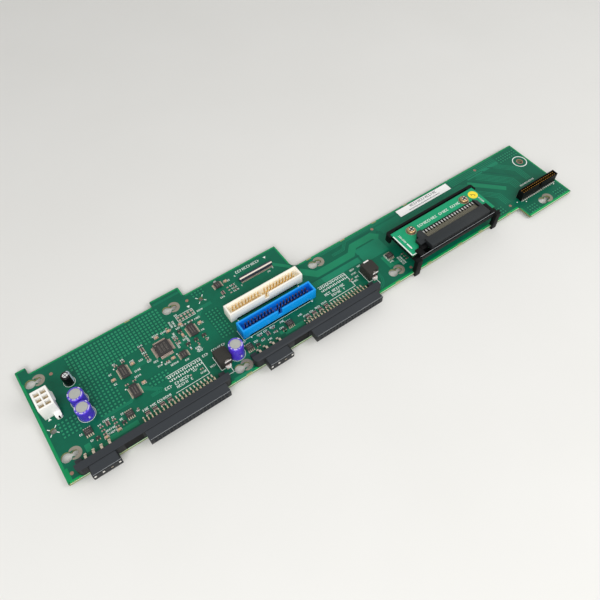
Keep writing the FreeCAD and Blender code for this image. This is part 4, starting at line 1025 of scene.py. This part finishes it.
# Spots where the board was broken out of its panel
stubs = bmesh.new()
for x, y in (
        (245.5, 0.0), (275.0, 0.0), (305.0, 0.0), (326.0, 0.0), (356.0, 0.0), (122.0, 0.0),
        (206.5, 54.06), (237.0, 54.06), (267.0, 54.06), (298.0, 54.06), (76.0, 81.9)):
    slab(stubs, x, y, 4.4, 0.24, -1.4, 1.2)
    slab(stubs, x, y + (0.5 if y < 1.0 else -0.5), 4.0, 0.9, 0.0, stub_film)
stub_half = 0.28
for x in (1.2, 2.6, 4.0, 5.4, 6.8, 33.2, 34.4, 35.6, 36.8):
    block(stubs, spot(x - stub_half, -0.12, -1.5), spot(x + stub_half, 0.6, film))
finished("break_out_stubs", stubs, break_out_tan)

# Print on chips, label and sticker
chip_marks = bmesh.new()
for low, high in boxes(*chip_nodes):
    size = high - low
    short = min(size.x, size.y)
    reach = max(size.x, size.y) * 0.31
    middle = (low + high) / 2
    turned = 90.0 if size.y > size.x else 0.0
    for row in ((-0.22, 0.0, 0.22) if short > 9 else (-0.16, 0.16)):
        shift = row * short
        x = middle.x + shift if turned else middle.x - reach
        y = middle.y - reach if turned else middle.y + shift
        words(chip_marks, x, y, 2 * reach, short * 0.13, high.z, turned, 0.18)
    disc(chip_marks, low.x + short * 0.14, high.y - short * 0.14, short * 0.05, high.z, sides=12)
finished("chip_print", chip_marks, grey_print)
label_marks = bmesh.new()
label_low, label_high = (on_board(corner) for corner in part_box("asset_label"))
words(label_marks, label_low.x + 13.0, label_low.y + 4.8, 27.0, 2.3, label_high.z, stroke=0.4)
words(label_marks, label_low.x + 10.0, label_low.y + 1.8, 31.0, 0.9, label_high.z, stroke=0.22)
finished("label_print_marks", label_marks, label_print)
sticker_marks = bmesh.new()
sticker_low, sticker_high = (on_board(corner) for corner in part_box("round_sticker"))
sticker_x, sticker_y = ((sticker_low + sticker_high) / 2).xy
for x, y, length, turned in ((-1.0, 0.9, 1.8, -38.0), (0.5, -0.1, 2.0, -38.0), (0.9, -1.3, 1.5, 40.0),
                             (-1.5, 0.1, 0.9, 40.0)):
    slab(sticker_marks, sticker_x + x, sticker_y + y, length, 0.5, sticker_high.z, film, turned)
finished("sticker_print_marks", sticker_marks, sticker_print)

# Print and painted highlights on the capacitors' sleeves: pale arcs on the rims are painted highlights and
# the stripes on the sides are print; the small one's silver stripe is print, and its arc over the rim is a
# painted highlight
sleeve_print_and_highlights = bmesh.new()
silver_print_and_highlight = bmesh.new()
sunk = 0.02
for low, high in boxes("inlet_capacitor_sleeves", "bay_capacitor_sleeves"):
    middle = ((low + high) / 2).xy
    radius = (high.x - low.x) / 2
    side = (radius - sunk, radius + film)
    for start, sweep in ((150.0, 26.0), (196.0, 14.0), (226.0, 30.0), (268.0, 10.0), (300.0, 44.0),
                         (20.0, 20.0)):
        ring(sleeve_print_and_highlights, *middle, radius - 1.0, radius - 0.45, high.z, film, start, sweep, 6)
    ring(sleeve_print_and_highlights, *middle, *side, 0.5, high.z - low.z - 2.2, -20.0, 44.0, 8)
    ring(sleeve_print_and_highlights, *middle, *side, 2.4, 2.2, 272.0, 12.0, 4)
low, high = boxes("small_capacitor_sleeves")[0]
middle = ((low + high) / 2).xy
radius = (high.x - low.x) / 2
ring(silver_print_and_highlight, *middle, radius - sunk, radius + film, 0.5, high.z - low.z - 0.8, -40.0, 80.0, 10)
ring(silver_print_and_highlight, *middle, radius - 0.75, radius - 0.3, high.z, film, -30.0, 84.0, 8)
# Painted shade: a dark cross where the small can's vent scores lie
vent_shade = bmesh.new()
small_can_top = boxes("small_capacitor_cans")[0][1].z
for angle in (20.0, 110.0):
    slab(vent_shade, *middle, radius * 1.1, 0.44, small_can_top, shade_film, angle)
finished("sleeve_print_and_highlights", sleeve_print_and_highlights, pale_film, smooth_angle)
finished("small_sleeve_print_and_highlight", silver_print_and_highlight, silver_film, smooth_angle)
finished("can_vent_shade", vent_shade, vent_score_shade)

# Solder on the underside
joints = bmesh.new()
joint_height = 0.95
for node, foot in (("blue_header_pins", 0.85), ("cream_header_pins", 0.85), ("power_inlet_pins", 1.5),
                   ("inlet_capacitor_leads", 0.9), ("bay_capacitor_leads", 0.9),
                   ("small_capacitor_leads", 0.9)):
    for low, high in boxes(node):
        reach = (high.x - low.x) * 0.62
        disc(joints, *((low + high) / 2).xy, reach, -board_thickness - joint_height, joint_height, 14,
             foot / reach)
finished("solder_joints", joints, solder, 60.0)

# Copper on the underside
under_tracks = bmesh.new()
under_copper = -board_thickness - copper_film
for points, count, pitch in (
        ([(34.0, 60.0), (60.0, 60.0), (76.0, 44.0), (126.0, 44.0)], 8, 1.1),
        ([(20.0, 26.0), (120.0, 26.0), (132.0, 34.0)], 6, 1.2),
        ([(194.0, 36.0), (230.0, 36.0), (240.0, 29.0), (360.0, 29.0), (374.0, 19.0)], 10, 1.2),
        ([(190.0, 20.0), (258.0, 20.0), (268.0, 12.0), (366.0, 12.0)], 6, 1.1),
        ([(66.0, 64.0), (96.0, 64.0), (104.0, 58.0), (130.0, 58.0)], 5, 1.2)):
    bundle(under_tracks, points, count, pitch, 0.34, under_copper)
under_pitch = 4.9
under_size = 2.2
for left, right, front, back in ((34.0, 94.0, 69.4, 79.4), (262.0, 340.0, 36.6, 50.0)):
    for column in range(int((right - left) / under_pitch) + 1):
        for row in range(int((back - front) / under_pitch) + 1):
            slab(under_tracks, left + column * under_pitch, front + row * under_pitch,
                 under_size, under_size, under_copper, copper_film)
finished("underside_copper", under_tracks, copper_track)

# Floor, world and lamps
floor_paint = new_paint("floor")
dust = floor_paint.noise(9.0, 3.0)
floor_finish = floor_paint.surface({
    "Base Color": floor_paint.mix(dust, linear(226, 226, 224), linear(232, 232, 231)),
    "Roughness": 0.85,
})
floor_bm = bmesh.new()
bmesh.ops.create_grid(floor_bm, x_segments=2, y_segments=2, size=4.0)
floor_mesh = bpy.data.meshes.new("floor")
floor_bm.to_mesh(floor_mesh)
floor_bm.free()
floor_mesh.materials.append(floor_finish)
floor = bpy.data.objects.new("floor", floor_mesh)
floor.location.z = -0.0002
bpy.context.scene.collection.objects.link(floor)

world = bpy.context.scene.world or bpy.data.worlds.new("world")
bpy.context.scene.world = world
sky = Paint(world)
seen = [sky.node("ShaderNodeLightPath", {}, {}, kind)
        for kind in ("Is Camera Ray", "Is Glossy Ray", "Is Transmission Ray")]
shown = sky.node("ShaderNodeMath", {"operation": "ADD", "use_clamp": True},
                 {0: seen[0] + seen[1], 1: seen[2]})
sky.fill(sky.tree.nodes["Background"], {"Color": linear(250, 249, 246), "Strength": 0.58 + shown * 0.38})


def soft_lamp(name, place, aim, size, power, colour):
    """A large square lamp that faces a point."""
    data = bpy.data.lights.new(name, "AREA")
    data.size = size
    data.energy = power
    data.color = colour
    lamp = bpy.data.objects.new(name, data)
    lamp.location = place
    lamp.rotation_euler = (aim - place).to_track_quat("-Z", "Y").to_euler()
    bpy.context.scene.collection.objects.link(lamp)


lamp_size = 0.6
warm_white = (1.0, 0.99, 0.97)
soft_lamp("left_lamp", Vector((-0.55, -0.7, 0.62)), Vector((-0.05, 0.0, 0.0)), lamp_size, 6.0, warm_white)
soft_lamp("right_lamp", Vector((0.6, -0.6, 0.75)), Vector((0.05, 0.0, 0.0)), lamp_size, 4.2, warm_white)

bpy.context.scene.view_settings.view_transform = "Standard"
